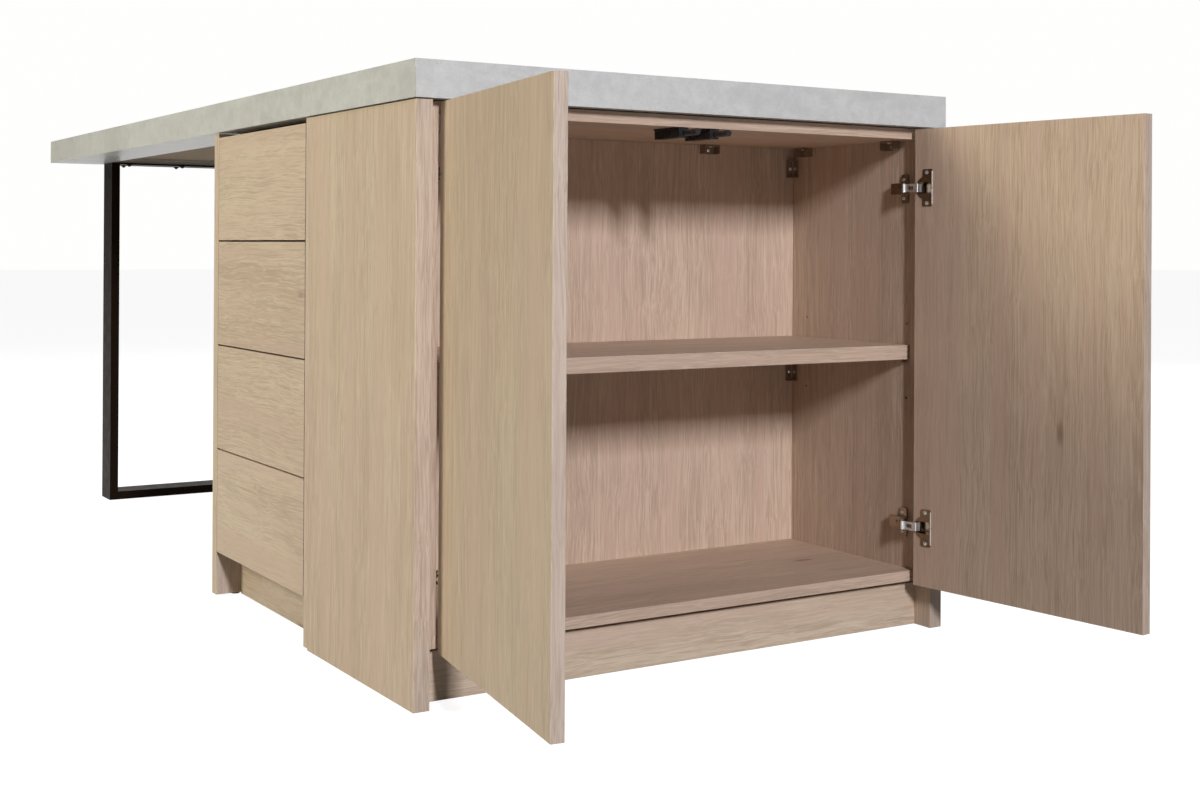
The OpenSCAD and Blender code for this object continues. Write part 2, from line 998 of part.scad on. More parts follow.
module side_kickboard() {
    at_origin()
        color(oak)
            eased_board([side_x + side_kick_set, bay_y + hairline, 0],
                [board_t, drawer_bay - 2 * hairline, kick_h], "y");
}

function level(k) = front_z + (drawers - k) * (front_h + front_gap);

module drawer_front(k) {
    at_origin()
        color(oak)
            eased_board([side_x, bay_y + front_gap, level(k)], [board_t, front_w, front_h], "x");
}

box_lift = 34;                        // drawer box over its front's lower edge
bottom_t = 8;
bottom_lift = 12;

module drawer_box(k) {
    z = level(k) + box_lift;
    y0 = bay_y + runner_gap;
    y1 = bay_end_y - runner_gap;
    h = hairline;
    at_origin()
        color(oak) {
            for (y = [y0, y1 - box_t])
                box([box_x, y, z], [box_l, box_t, box_h]);
            for (x = [box_x, box_x + box_l - box_t])
                box([x, y0 + box_t + h, z], [box_t, y1 - y0 - 2 * (box_t + h), box_h]);
            box([box_x + box_t + h, y0 + box_t + h, z + bottom_lift],
                [box_l - 2 * (box_t + h), y1 - y0 - 2 * (box_t + h), bottom_t]);
        }
}

// Channel section of a runner: web at y = 0, lips towards +y
module runner_section(height, depth, t) {
    translate([0, -height / 2])
        square([t, height]);
    for (s = [-1, 1])
        translate([0, s > 0 ? height / 2 - t : -height / 2])
            square([depth, t]);
}

module runner_bar(height, depth, x, len) {
    translate([x, 0, 0])
        rotate([90, 0, 90])
            linear_extrude(len)
                runner_section(height, depth, runner_t);
}

runner_play = 0.9;                    // gap between nested runner members

// Draws a runner on both sides of the bay; the far one faces the near one
module at_runners(k) {
    z = level(k) + box_lift + runner_h / 2 + 18;
    translate([0, bay_y, z])
        children();
    translate([0, bay_end_y, z])
        mirror([0, 1, 0])
            children();
}

runner_x = bay_x + 2;
mid_h = runner_h - 2 * (runner_t + runner_play);
inner_h = mid_h - 2 * (runner_t + runner_play);

module runner_cabinet() {
    at_origin()
        color(steel)
            for (k = [1 : drawers])
                at_runners(k)
                    runner_bar(runner_h, runner_gap - 3.4, runner_x, box_l - 6);
}

module runner_middle(k) {
    at_origin()
        color(steel)
            at_runners(k)
                translate([0, runner_t + runner_play, 0])
                    runner_bar(mid_h, runner_gap - 3.4 - runner_play, runner_x + 2, box_l - 12);
}

module runner_drawer(k) {
    at_origin()
        color(steel)
            at_runners(k)
                translate([0, runner_gap - hairline, 0])
                    mirror([0, 1, 0])
                        runner_bar(inner_h, runner_gap - hairline - 2 * (runner_t + runner_play),
                            runner_x + 4, box_l - 18);
}

module drawer_front_1() { drawer_front(1); }
module drawer_front_2() { drawer_front(2); }
module drawer_front_3() { drawer_front(3); }
module drawer_front_4() { drawer_front(4); }
module drawer_box_1() { drawer_box(1); }
module drawer_box_2() { drawer_box(2); }
module drawer_box_3() { drawer_box(3); }
module drawer_box_4() { drawer_box(4); }
module runner_middle_1() { runner_middle(1); }
module runner_middle_2() { runner_middle(2); }
module runner_middle_3() { runner_middle(3); }
module runner_middle_4() { runner_middle(4); }
module runner_drawer_1() { runner_drawer(1); }
module runner_drawer_2() { runner_drawer(2); }
module runner_drawer_3() { runner_drawer(3); }
module runner_drawer_4() { runner_drawer(4); }

// ---------------------------------------------------------------- leg

bolt_hole_d = 7;
bolt_inset = 26;
bolt_step = 135;                      // inner bolts, from the outer ones
bolt_edge = 12;                       // rows, from the plate's long edges

module at_leg_bolts() {
    outer = leg_side + leg_t + bolt_inset;
    for (x = [outer, outer + bolt_step])
        for (y = [bolt_edge, leg_d - bolt_edge])
            translate([x, top_l - leg_end - leg_d + y, under_z - plate_t])
                children();
}

module leg_hoop() {
    y = top_l - leg_end - leg_d;
    w = top_w - 2 * leg_side;
    at_origin()
        color(black)
            difference() {
                translate([0, y, 0])
                    union() {
                        for (x = [leg_side, top_w - leg_side - leg_t])
                            box([x, 0, 0], [leg_t, leg_d, under_z]);
                        box([leg_side, 0, 0], [w, leg_d, leg_t]);
                        box([leg_side, 0, under_z - plate_t], [w, leg_d, plate_t]);
                    }
                both_sides()
                    at_leg_bolts()
                        translate([0, 0, -1])
                            cylinder(d = bolt_hole_d, h = plate_t + 2);
            }
}

module leg_bolts() {
    at_origin()
        color(black)
            both_sides()
                at_leg_bolts()
                    mirror([0, 0, 1])
                        screw(13, 3, bolt_hole_d - 2 * screw_clear, plate_t);
}

worktop_sheet();
worktop_core();
worktop_aprons();
worktop_rims();
end_panel_left();
end_panel_right();
drawer_end_panel();
partition_panel();
back_panel();
panel_glides();
support_pads();
cabinet_side_left();
cabinet_side_right();
cabinet_bottom();
cabinet_top();
cabinet_back();
shelf();
shelf_pins();
corner_brackets();
bracket_screws();
cabinet_feet();
end_kickboard();
door_left();
door_right();
hinge_cups_left();
hinge_cups_right();
cup_screws_left();
cup_screws_right();
hinge_links_left();
hinge_links_right();
hinge_arms();
hinge_plates();
hinge_plate_screws();
latch_housings();
latch_plunger_left();
latch_plunger_right();
drawer_unit_bottom();
drawer_unit_rails();
drawer_unit_back();
side_kickboard();
drawer_front_1();
drawer_front_2();
drawer_front_3();
drawer_front_4();
drawer_box_1();
drawer_box_2();
drawer_box_3();
drawer_box_4();
runner_cabinet();
runner_middle_1();
runner_middle_2();
runner_middle_3();
runner_middle_4();
runner_drawer_1();
runner_drawer_2();
runner_drawer_3();
runner_drawer_4();
leg_hoop();
leg_bolts();
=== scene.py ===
"""Kitchen island with a two-door cupboard, a drawer stack and a bar on a hoop leg.

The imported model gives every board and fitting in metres. This script gives
each its procedural finish, adds the fine detail that the boards and fittings
carry, and sets the light, the floor and the photograph's camera.
"""

import logging
import math
from collections.abc import Callable
from dataclasses import dataclass, replace
from enum import Enum
from functools import cache
from typing import Any

import bmesh
import bpy
import numpy as np
from mathutils import Matrix, Vector


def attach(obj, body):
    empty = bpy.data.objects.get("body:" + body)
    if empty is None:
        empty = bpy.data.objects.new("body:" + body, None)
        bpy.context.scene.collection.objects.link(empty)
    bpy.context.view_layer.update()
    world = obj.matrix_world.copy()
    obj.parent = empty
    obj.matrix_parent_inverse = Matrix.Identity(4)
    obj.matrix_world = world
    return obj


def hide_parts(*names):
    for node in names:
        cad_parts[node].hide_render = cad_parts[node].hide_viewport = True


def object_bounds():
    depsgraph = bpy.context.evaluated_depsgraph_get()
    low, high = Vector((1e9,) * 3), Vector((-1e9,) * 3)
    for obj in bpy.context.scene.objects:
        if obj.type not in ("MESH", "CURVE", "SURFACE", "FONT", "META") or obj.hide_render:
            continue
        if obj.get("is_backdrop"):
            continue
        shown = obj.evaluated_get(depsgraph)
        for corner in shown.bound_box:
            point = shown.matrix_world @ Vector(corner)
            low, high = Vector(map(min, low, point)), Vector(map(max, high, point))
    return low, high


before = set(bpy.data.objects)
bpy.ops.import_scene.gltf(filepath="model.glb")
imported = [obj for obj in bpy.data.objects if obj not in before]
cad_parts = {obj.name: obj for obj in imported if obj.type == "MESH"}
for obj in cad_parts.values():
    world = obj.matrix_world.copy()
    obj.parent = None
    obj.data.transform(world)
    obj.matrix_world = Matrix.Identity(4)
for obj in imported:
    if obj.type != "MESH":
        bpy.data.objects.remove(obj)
LOG = logging.getLogger("island")
RGB = tuple[float, float, float]
Socket, NodeTree = bpy.types.NodeSocket, bpy.types.NodeTree
KNOT_BROWN: RGB = (0.17, 0.10, 0.06)
SPECK_GREY: RGB = (0.36, 0.35, 0.32)
# a board's figure moves by these times its seed, so that no two boards match
FIGURE_SHIFT: RGB = (3.71, 1.93, 0.77)
SEEDS = 89
# normals within 60 degrees of a board's face count as that face
FACE_COSINE = 0.5


def srgb(r: float, g: float, b: float) -> RGB:
    """Turns a display colour into the linear colour that shaders take.

    Args:
        r: Red, 0 to 255.
        g: Green, 0 to 255.
        b: Blue, 0 to 255.

    Returns:
        The same colour in linear light.
    """
    def lin(c: float) -> float:
        """Turns one channel."""
        c /= 255.0
        return c / 12.92 if c <= 0.04045 else ((c + 0.055) / 1.055) ** 2.4

    return lin(r), lin(g), lin(b)


class Grain(Enum):
    """Direction of a board's grain, as the turn that lays it along Z."""

    UP = (0.0, 0.0, 0.0)
    ACROSS = (0.0, math.pi / 2, 0.0)
    ALONG = (math.pi / 2, 0.0, 0.0)


# -------------------- node helpers


class Tree:
    """Short calls for making and joining shader or geometry nodes."""

    def __init__(self, tree: NodeTree) -> None:
        """Wraps a node tree.

        Args:
            tree: The tree to add nodes to.
        """
        self.tree = tree

    def add(self, kind: str, **values: Any) -> bpy.types.Node:
        """Adds a node.

        Args:
            kind: The node's type name.
            values: Properties of the node, or inputs by name with spaces as _.

        Returns:
            The new node.
        """
        node = self.tree.nodes.new(kind)
        for key, value in values.items():
            if hasattr(node, key):
                setattr(node, key, value)
            else:
                node.inputs[key.replace("_", " ")].default_value = value
        return node

    def link(self, out: Socket, into: Socket) -> None:
        """Joins two sockets.

        Args:
            out: The socket that gives.
            into: The socket that takes.
        """
        self.tree.links.new(out, into)

    def noise(self, vector: Socket, scale: float, detail: float = 3.0,
              rough: float = 0.5, distortion: float = 0.0) -> Socket:
        """Adds a noise texture.

        Args:
            vector: Where to look the noise up.
            scale: Cells per metre.
            detail: Octaves.
            rough: Strength of the finer octaves.
            distortion: How far the noise warps itself.

        Returns:
            The noise value.
        """
        node = self.add("ShaderNodeTexNoise", Scale=scale, Detail=detail,
                        Roughness=rough, Distortion=distortion)
        self.link(vector, node.inputs["Vector"])
        return node.outputs["Fac"]

    def scaled(self, vector: Socket, by: RGB) -> Socket:
        """Multiplies a vector axis by axis.

        Args:
            vector: The vector.
            by: The factors.

        Returns:
            The product.
        """
        node = self.add("ShaderNodeVectorMath", operation="MULTIPLY")
        self.link(vector, node.inputs[0])
        node.inputs[1].default_value = by
        return node.outputs[0]

    def ramp(self, value: Socket, low: float, high: float,
             start: float = 0.0, end: float = 1.0) -> Socket:
        """Maps a range smoothly onto another.

        Args:
            value: The value to map.
            low: Where the range begins.
            high: Where it ends.
            start: The result at low.
            end: The result at high.

        Returns:
            The mapped value.
        """
        node = self.add("ShaderNodeMapRange", interpolation_type="SMOOTHSTEP")
        self.link(value, node.inputs["Value"])
        for name, number in zip(("From Min", "From Max", "To Min", "To Max"),
                                (low, high, start, end)):
            node.inputs[name].default_value = number
        return node.outputs["Result"]

    def math(self, kind: str, a: Any, b: Any = 0.0) -> Socket:
        """Adds a maths node.

        Args:
            kind: The operation.
            a: A socket or a number.
            b: A socket or a number.

        Returns:
            The result.
        """
        node = self.add("ShaderNodeMath", operation=kind)
        for socket, value in zip(node.inputs, (a, b)):
            if isinstance(value, Socket):
                self.link(value, socket)
            else:
                socket.default_value = value
        return node.outputs[0]

    def mix(self, factor: Any, a: Any, b: Any, mode: str = "MIX") -> Socket:
        """Mixes two colours.

        Args:
            factor: A socket or a number from 0 to 1.
            a: The first colour, a socket or RGB.
            b: The second colour, a socket or RGB.
            mode: The way of mixing.

        Returns:
            The mixed colour.
        """
        node = self.add("ShaderNodeMix", data_type="RGBA", blend_type=mode)
        for index, value in ((0, factor), (6, a), (7, b)):
            socket = node.inputs[index]
            if isinstance(value, Socket):
                self.link(value, socket)
            elif index:
                socket.default_value = (*value, 1.0)
            else:
                socket.default_value = value
        return node.outputs[2]

    def bump(self, height: Socket, distance: float) -> Socket:
        """Adds a bump node.

        Args:
            height: The height, 0 to 1.
            distance: Its size in metres.

        Returns:
            The bent normal.
        """
        node = self.add("ShaderNodeBump", Strength=1.0, Distance=distance)
        self.link(height, node.inputs["Height"])
        return node.outputs["Normal"]

    def joined(self, **parts: Socket) -> Socket:
        """Joins numbers into a vector.

        Args:
            parts: Its X, Y and Z; one left out is 0.

        Returns:
            The vector.
        """
        node = self.add("ShaderNodeCombineXYZ")
        for key, value in parts.items():
            self.link(value, node.inputs[key])
        return node.outputs[0]

    def moved(self, geometry: Socket,
              by: Socket) -> Socket:
        """Moves a geometry.

        Args:
            geometry: What moves.
            by: How far.

        Returns:
            The moved geometry.
        """
        node = self.add("GeometryNodeTransform")
        self.link(geometry, node.inputs["Geometry"])
        self.link(by, node.inputs["Translation"])
        return node.outputs["Geometry"]


def shader_group(name: str, inputs: dict[str, Any], outputs: dict[str, str]) -> tuple[Any, Tree]:
    """Makes an empty shader node group.

    Args:
        name: The group's name.
        inputs: Input names with their default values.
        outputs: Output names with their socket types.

    Returns:
        The group and a Tree on it with nodes "in" and "out".
    """
    group = bpy.data.node_groups.new(name, "ShaderNodeTree")
    for key, value in inputs.items():
        kind = "NodeSocketVector" if value is None else (
            "NodeSocketColor" if isinstance(value, tuple) else "NodeSocketFloat")
        socket = group.interface.new_socket(key, in_out="INPUT", socket_type=kind)
        if value is not None:
            socket.default_value = (*value, 1.0) if isinstance(value, tuple) else value
    for key, kind in outputs.items():
        group.interface.new_socket(key, in_out="OUTPUT", socket_type=kind)
    tree = Tree(group)
    tree.add("NodeGroupInput").name = "in"
    tree.add("NodeGroupOutput").name = "out"
    return group, tree


@cache
def oak_group() -> NodeTree:
    """Builds the limed oak figure: bands, streaks, pores, faint rings and a few knots.

    Returns:
        The shader group. Its grain runs along Z of the Vector input.
    """
    group, t = shader_group("OakFigure", {"Vector": None, "Light": (0.5, 0.4, 0.3),
                                          "Dark": (0.3, 0.2, 0.15), "Blush": (0.4, 0.3, 0.2)},
                            {"Color": "NodeSocketColor", "Roughness": "NodeSocketFloat",
                             "Height": "NodeSocketFloat"})
    inp, out = group.nodes["in"], group.nodes["out"]
    vec = inp.outputs["Vector"]
    spread = t.add("ShaderNodeTexVoronoi", Scale=1.0, Randomness=1.0)
    t.link(t.scaled(vec, (5.0, 5.0, 1.7)), spread.inputs["Vector"])
    knot = t.ramp(spread.outputs["Distance"], 0.012, 0.05, 1.0, 0.0)
    halo = t.ramp(spread.outputs["Distance"], 0.03, 0.22, 1.0, 0.0)
    # rings bend round the knots and show only in places
    drift = t.noise(t.scaled(vec, (3.0, 3.0, 0.32)), 1.0, 2.0, 0.45, 0.3)
    phase = t.math("ADD", t.math("MULTIPLY", drift, 170.0), t.math("MULTIPLY", halo, 9.0))
    ring = t.math("MULTIPLY", t.math("SINE", phase),
                  t.ramp(t.noise(t.scaled(vec, (3.6, 3.6, 0.7)), 1.0, 2.0), 0.44, 0.62))
    # the fibres waver from side to side as they rise
    sway = t.add("ShaderNodeTexNoise", Scale=1.0, Detail=2.0)
    t.link(t.scaled(vec, (7.0, 7.0, 5.0)), sway.inputs["Vector"])
    bend = t.scaled(sway.outputs["Color"], (0.020, 0.020, 0.0))
    wavy = t.add("ShaderNodeVectorMath", operation="ADD")
    t.link(vec, wavy.inputs[0])
    t.link(bend, wavy.inputs[1])
    grain = wavy.outputs[0]
    band = t.noise(t.scaled(grain, (22.0, 22.0, 0.8)), 1.0, 3.0, 0.6)
    streak = t.noise(t.scaled(grain, (230.0, 230.0, 3.6)), 1.0, 3.0, 0.6)
    thread = t.noise(t.scaled(grain, (500.0, 500.0, 9.0)), 1.0, 2.0, 0.6, 0.3)
    fibre = t.noise(t.scaled(grain, (800.0, 800.0, 22.0)), 1.0, 2.0, 0.6)
    cloud = t.noise(t.scaled(vec, (2.4, 2.4, 1.0)), 1.0, 2.0)
    pore = t.ramp(t.noise(t.scaled(grain, (520.0, 520.0, 30.0)), 1.0, 2.0, 0.7), 0.58, 0.70)
    shade: Any = 0.0
    for value, share in ((band, 0.30), (streak, 0.44), (thread, 0.64), (fibre, 0.44),
                         (cloud, 0.32), (ring, 0.03)):
        shade = t.math("ADD", t.math("MULTIPLY", value, share), shade)
    colour = t.mix(t.ramp(shade, 0.87, 1.25), inp.outputs["Dark"], inp.outputs["Light"])
    tint = t.ramp(t.noise(t.scaled(vec, (19.0, 19.0, 0.7)), 1.0, 3.0, 0.6), 0.44, 0.66, 0.0, 0.6)
    colour = t.mix(tint, colour, inp.outputs["Blush"])
    colour = t.mix(t.math("MULTIPLY", halo, 0.22), colour, inp.outputs["Dark"])
    colour = t.mix(t.math("MULTIPLY", pore, 0.22), colour, inp.outputs["Dark"])
    colour = t.mix(t.math("MULTIPLY", knot, 0.60), colour, KNOT_BROWN)
    t.link(colour, out.inputs["Color"])
    t.link(t.ramp(streak, 0.3, 0.7, 0.50, 0.62), out.inputs["Roughness"])
    height = t.math("SUBTRACT", t.math("MULTIPLY", fibre, 0.5), pore)
    t.link(height, out.inputs["Height"])
    return group


@cache
def edge_and_inside_shade_group() -> NodeTree:
    """Builds the painted shade on a board's edge faces and on its inner face, as darker tints.

    Returns:
        The shader group. Across is the way that the inner face looks.
    """
    group, t = shader_group("EdgeAndInsideShade", {"Color": (0.5, 0.4, 0.3), "Normal": None,
                                         "Across": None, "Band": (1.0, 1.0, 1.0),
                                         "Inside": (1.0, 1.0, 1.0)},
                            {"Color": "NodeSocketColor"})
    inp, out = group.nodes["in"], group.nodes["out"]
    flat = t.add("ShaderNodeVectorMath", operation="DOT_PRODUCT")
    t.link(inp.outputs["Normal"], flat.inputs[0])
    t.link(inp.outputs["Across"], flat.inputs[1])
    # edge faces take the darker, cooler tint: painted shade
    edge = t.math("LESS_THAN", t.math("ABSOLUTE", flat.outputs["Value"]), FACE_COSINE)
    # the inner face takes the darker, redder tint: painted shade
    inner = t.math("GREATER_THAN", flat.outputs["Value"], FACE_COSINE)
    colour = inp.outputs["Color"]
    for mask, tint in ((edge, "Band"), (inner, "Inside")):
        tinted = t.mix(1.0, inp.outputs["Color"], inp.outputs[tint], "MULTIPLY")
        colour = t.mix(mask, colour, tinted)
    t.link(colour, out.inputs["Color"])
    return group


@cache
def stone_group() -> NodeTree:
    """Builds the pale concrete-like top: clouds, trowel veils, specks and pits.

    Returns:
        The shader group.
    """
    group, t = shader_group("StoneLook", {"Vector": None, "Light": (0.7, 0.7, 0.65),
                                          "Dark": (0.5, 0.5, 0.48)},
                            {"Color": "NodeSocketColor", "Roughness": "NodeSocketFloat",
                             "Height": "NodeSocketFloat"})
    inp, out = group.nodes["in"], group.nodes["out"]
    vec = inp.outputs["Vector"]
    cloud = t.noise(vec, 5.0, 5.0, 0.62, 0.4)
    veil = t.noise(t.scaled(vec, (14.0, 14.0, 30.0)), 1.0, 4.0, 0.65, 1.2)
    grit = t.noise(vec, 420.0, 3.0, 0.7)
    blot = t.noise(vec, 70.0, 3.0, 0.6)
    shade = t.math("ADD", t.math("MULTIPLY", cloud, 0.26), t.math("MULTIPLY", veil, 0.26))
    shade = t.math("ADD", shade, t.math("MULTIPLY", blot, 0.26))
    shade = t.math("ADD", shade, t.math("MULTIPLY", grit, 0.26))
    colour = t.mix(t.ramp(shade, 0.38, 0.68), inp.outputs["Dark"], inp.outputs["Light"])
    speck = t.ramp(t.noise(vec, 300.0, 1.0, 0.5), 0.66, 0.76)
    colour = t.mix(t.math("MULTIPLY", speck, 0.22), colour, SPECK_GREY)
    t.link(colour, out.inputs["Color"])
    t.link(t.ramp(veil, 0.3, 0.7, 0.28, 0.40), out.inputs["Roughness"])
    t.link(t.math("SUBTRACT", t.math("MULTIPLY", grit, 0.4), speck), out.inputs["Height"])
    return group


@cache
def wear_group() -> NodeTree:
    """Builds a fine mottling for metal and plastic.

    Returns:
        The shader group with a varied colour, roughness and height.
    """
    group, t = shader_group("FineMottle", {"Vector": None, "Base": (0.5, 0.5, 0.5),
                                           "Rough": 0.4, "Grain": 900.0},
                            {"Color": "NodeSocketColor", "Roughness": "NodeSocketFloat",
                             "Height": "NodeSocketFloat"})
    inp, out = group.nodes["in"], group.nodes["out"]
    vec = inp.outputs["Vector"]
    fine = t.add("ShaderNodeTexNoise", Detail=2.0)
    t.link(vec, fine.inputs["Vector"])
    t.link(inp.outputs["Grain"], fine.inputs["Scale"])
    broad = t.noise(vec, 38.0, 3.0)
    darker = t.mix(0.5, inp.outputs["Base"], (0.0, 0.0, 0.0))
    t.link(t.mix(t.ramp(broad, 0.25, 0.8, 0.30, 0.0), inp.outputs["Base"], darker),
           out.inputs["Color"])
    spread = t.math("MULTIPLY", t.math("SUBTRACT", broad, 0.5), 0.25)
    t.link(t.math("ADD", inp.outputs["Rough"], spread), out.inputs["Roughness"])
    t.link(fine.outputs["Fac"], out.inputs["Height"])
    return group


# -------------------- finishes


@dataclass(frozen=True)
class Finish:
    """A procedural finish.

    Args:
        name: Name of the material.
        slot: The record's material slot; not used.
        group: Builder of its shader group.
        colours: Colour inputs of the group.
        values: Number inputs of the group.
        shader: Uniform inputs of the surface shader.
        depth: Depth of the relief in metres.
        band: Darker, cooler tint of the edge faces, painted shade, if there is any.
        inside: Darker, redder tint of the inner face, painted shade.
    """

    name: str
    slot: str
    group: Callable[[], NodeTree]
    colours: tuple[tuple[str, RGB], ...]
    values: tuple[tuple[str, float], ...] = ()
    shader: tuple[tuple[str, float], ...] = ()
    depth: float = 0.0001
    band: RGB | None = None
    inside: RGB = (1.0, 1.0, 1.0)

    def build(self, grain: Grain = Grain.UP, seed: float = 0.0,
              across: RGB = (1.0, 0.0, 0.0)) -> bpy.types.Material:
        """Makes the material.

        Args:
            grain: Direction of the figure.
            seed: Seed of the figure's place.
            across: The way that the board's inner face looks.

        Returns:
            The material.
        """
        mat = bpy.data.materials.new(f"{self.name}_{grain.name.lower()}_{seed:.0f}")
        mat.use_nodes = True
        t = Tree(mat.node_tree)
        shader = mat.node_tree.nodes["Principled BSDF"]
        for key, value in self.shader:
            shader.inputs[key].default_value = value
        coords = t.add("ShaderNodeTexCoord")
        turn = t.add("ShaderNodeMapping", vector_type="POINT")
        turn.inputs["Rotation"].default_value = grain.value
        turn.inputs["Location"].default_value = [seed * shift for shift in FIGURE_SHIFT]
        t.link(coords.outputs["Object"], turn.inputs["Vector"])
        figure = t.add("ShaderNodeGroup", node_tree=self.group())
        t.link(turn.outputs["Vector"], figure.inputs["Vector"])
        for key, rgb in self.colours:
            figure.inputs[key].default_value = (*rgb, 1.0)
        for key, number in self.values:
            figure.inputs[key].default_value = number
        colour = figure.outputs["Color"]
        if self.band:
            # painted shade: darker tints on the edge faces and on the inner face
            edge = t.add("ShaderNodeGroup", node_tree=edge_and_inside_shade_group())
            edge.inputs["Across"].default_value = across
            edge.inputs["Band"].default_value = (*self.band, 1.0)
            edge.inputs["Inside"].default_value = (*self.inside, 1.0)
            t.link(coords.outputs["Normal"], edge.inputs["Normal"])
            t.link(colour, edge.inputs["Color"])
            colour = edge.outputs["Color"]
        t.link(colour, shader.inputs["Base Color"])
        t.link(figure.outputs["Roughness"], shader.inputs["Roughness"])
        t.link(t.bump(figure.outputs["Height"], self.depth), shader.inputs["Normal"])
        return mat


# the band tint darkens and cools the boards' edge faces: painted shade
OAK = Finish("oak", "oak_board", oak_group,
             (("Light", srgb(214, 196, 172)), ("Dark", srgb(183, 161, 139)),
              ("Blush", srgb(206, 181, 162))),
             shader=(("Specular IOR Level", 0.35),), depth=0.00012, band=(0.86, 0.87, 0.93))
# the doors' inner faces are tinted darker and redder: painted shade
OAK_DOOR_SHADED_INSIDE = replace(OAK, name="oak_door", inside=(0.91, 0.86, 0.84))
OAK_PLAIN = replace(OAK, name="oak_plain", band=None)
# a darker, redder copy of the oak for the inside boards: painted shade of the interior
OAK_INNER_SHADED = Finish("oak_inner", "oak_inner", oak_group,
                   (("Light", srgb(209, 187, 165)), ("Dark", srgb(176, 153, 134)),
                    ("Blush", srgb(198, 171, 153))),
                   shader=(("Specular IOR Level", 0.35),), depth=0.00012)
OAK_BACK = replace(OAK_INNER_SHADED, name="oak_back", colours=(
    ("Light", srgb(217, 194, 172)), ("Dark", srgb(184, 160, 141)),
    ("Blush", srgb(206, 178, 160))))
STONE = Finish("stone", "stone_surface", stone_group,
               (("Light", srgb(217, 218, 214)), ("Dark", srgb(197, 198, 195))),
               shader=(("Specular IOR Level", 0.5),), depth=0.00012)
CHIPBOARD = Finish("chipboard", "chipboard", wear_group,
                   (("Base", srgb(150, 128, 100)),),
                   (("Rough", 0.8), ("Grain", 300.0)), depth=0.0004)
# darkened, brownish copy of the plated steel: painted reflection of the dark room and the oak inside
NICKEL_DARK_REFLECTION = Finish("nickel", "steel_plated", wear_group, (("Base", srgb(158, 143, 126)),),
                (("Rough", 0.18), ("Grain", 700.0)), (("Metallic", 1.0),), 0.00002)
# near-white copy of the same plated steel, for screws, ribs and links: painted highlight of the light
# they catch
STEEL_LIT_HIGHLIGHT = Finish("steel_lit_highlight", "steel_plated", wear_group, (("Base", srgb(226, 225, 224)),),
                (("Rough", 0.48), ("Grain", 700.0)), (("Metallic", 1.0),), 0.00002)
ZINC = Finish("zinc", "steel_runner", wear_group, (("Base", srgb(188, 190, 192)),),
              (("Rough", 0.36), ("Grain", 500.0)), (("Metallic", 1.0),), 0.00002)
POWDER = Finish("powder_black", "black_steel", wear_group, (("Base", srgb(30, 20, 13)),),
                (("Rough", 0.42), ("Grain", 1600.0)), (("Specular IOR Level", 0.03),), 0.00005)
BLACK = Finish("plastic_black", "black_plastic", wear_group, (("Base", srgb(30, 30, 33)),),
               (("Rough", 0.5), ("Grain", 1100.0)), depth=0.00004)
BROWN = Finish("plastic_brown", "brown_plastic", wear_group, (("Base", srgb(138, 112, 88)),),
               (("Rough", 0.45), ("Grain", 900.0)), depth=0.00004)


# -------------------- repeated fittings


class Recess(Enum):
    """What a driver turns a fastener by, as the number of sides of its pocket."""

    CROSS = 4
    HEX = 6


def cad_solids(node: str) -> list[np.ndarray]:
    """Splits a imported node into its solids.

    Args:
        node: The node's name.

    Returns:
        The corner points of each solid, in metres, in a fixed order.
    """
    bm = bmesh.new()
    bm.from_mesh(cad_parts[node].data)
    bmesh.ops.remove_doubles(bm, verts=bm.verts, dist=1e-6)
    bm.verts.ensure_lookup_table()
    found, seen = [], set()
    for first in bm.verts:
        if first.index in seen:
            continue
        seen.add(first.index)
        stack, points = [first], []
        while stack:
            vert = stack.pop()
            points.append(tuple(vert.co))
            for edge in vert.link_edges:
                other = edge.other_vert(vert)
                if other.index not in seen:
                    seen.add(other.index)
                    stack.append(other)
        found.append(np.array(points))
    bm.free()
    return sorted(found, key=lambda pts: tuple(np.round(pts.mean(axis=0), 5)))


def head_seat(points: np.ndarray, head_height: float) -> tuple[Vector, Vector]:
    """Finds where a fastener's head sits and which way it faces.

    Args:
        points: The fastener's corner points.
        head_height: Height of its head.

    Returns:
        The middle of the head's underside, and the direction out of the board.
    """
    middle = points.mean(axis=0)
    spread, axes = np.linalg.svd(points - middle, full_matrices=False)[1:]
    # a turned solid spreads alike in the two directions across its axis
    axis = axes[0] if spread[0] - spread[1] > spread[1] - spread[2] else axes[2]
    along = (points - middle) @ axis
    wide = np.linalg.norm(points - middle - np.outer(along, axis), axis=1)
    if along[wide > 0.9 * wide.max()].mean() < 0.0:
        axis, along = -axis, -along
    return Vector(middle + axis * (along.max() - head_height)), Vector(axis)


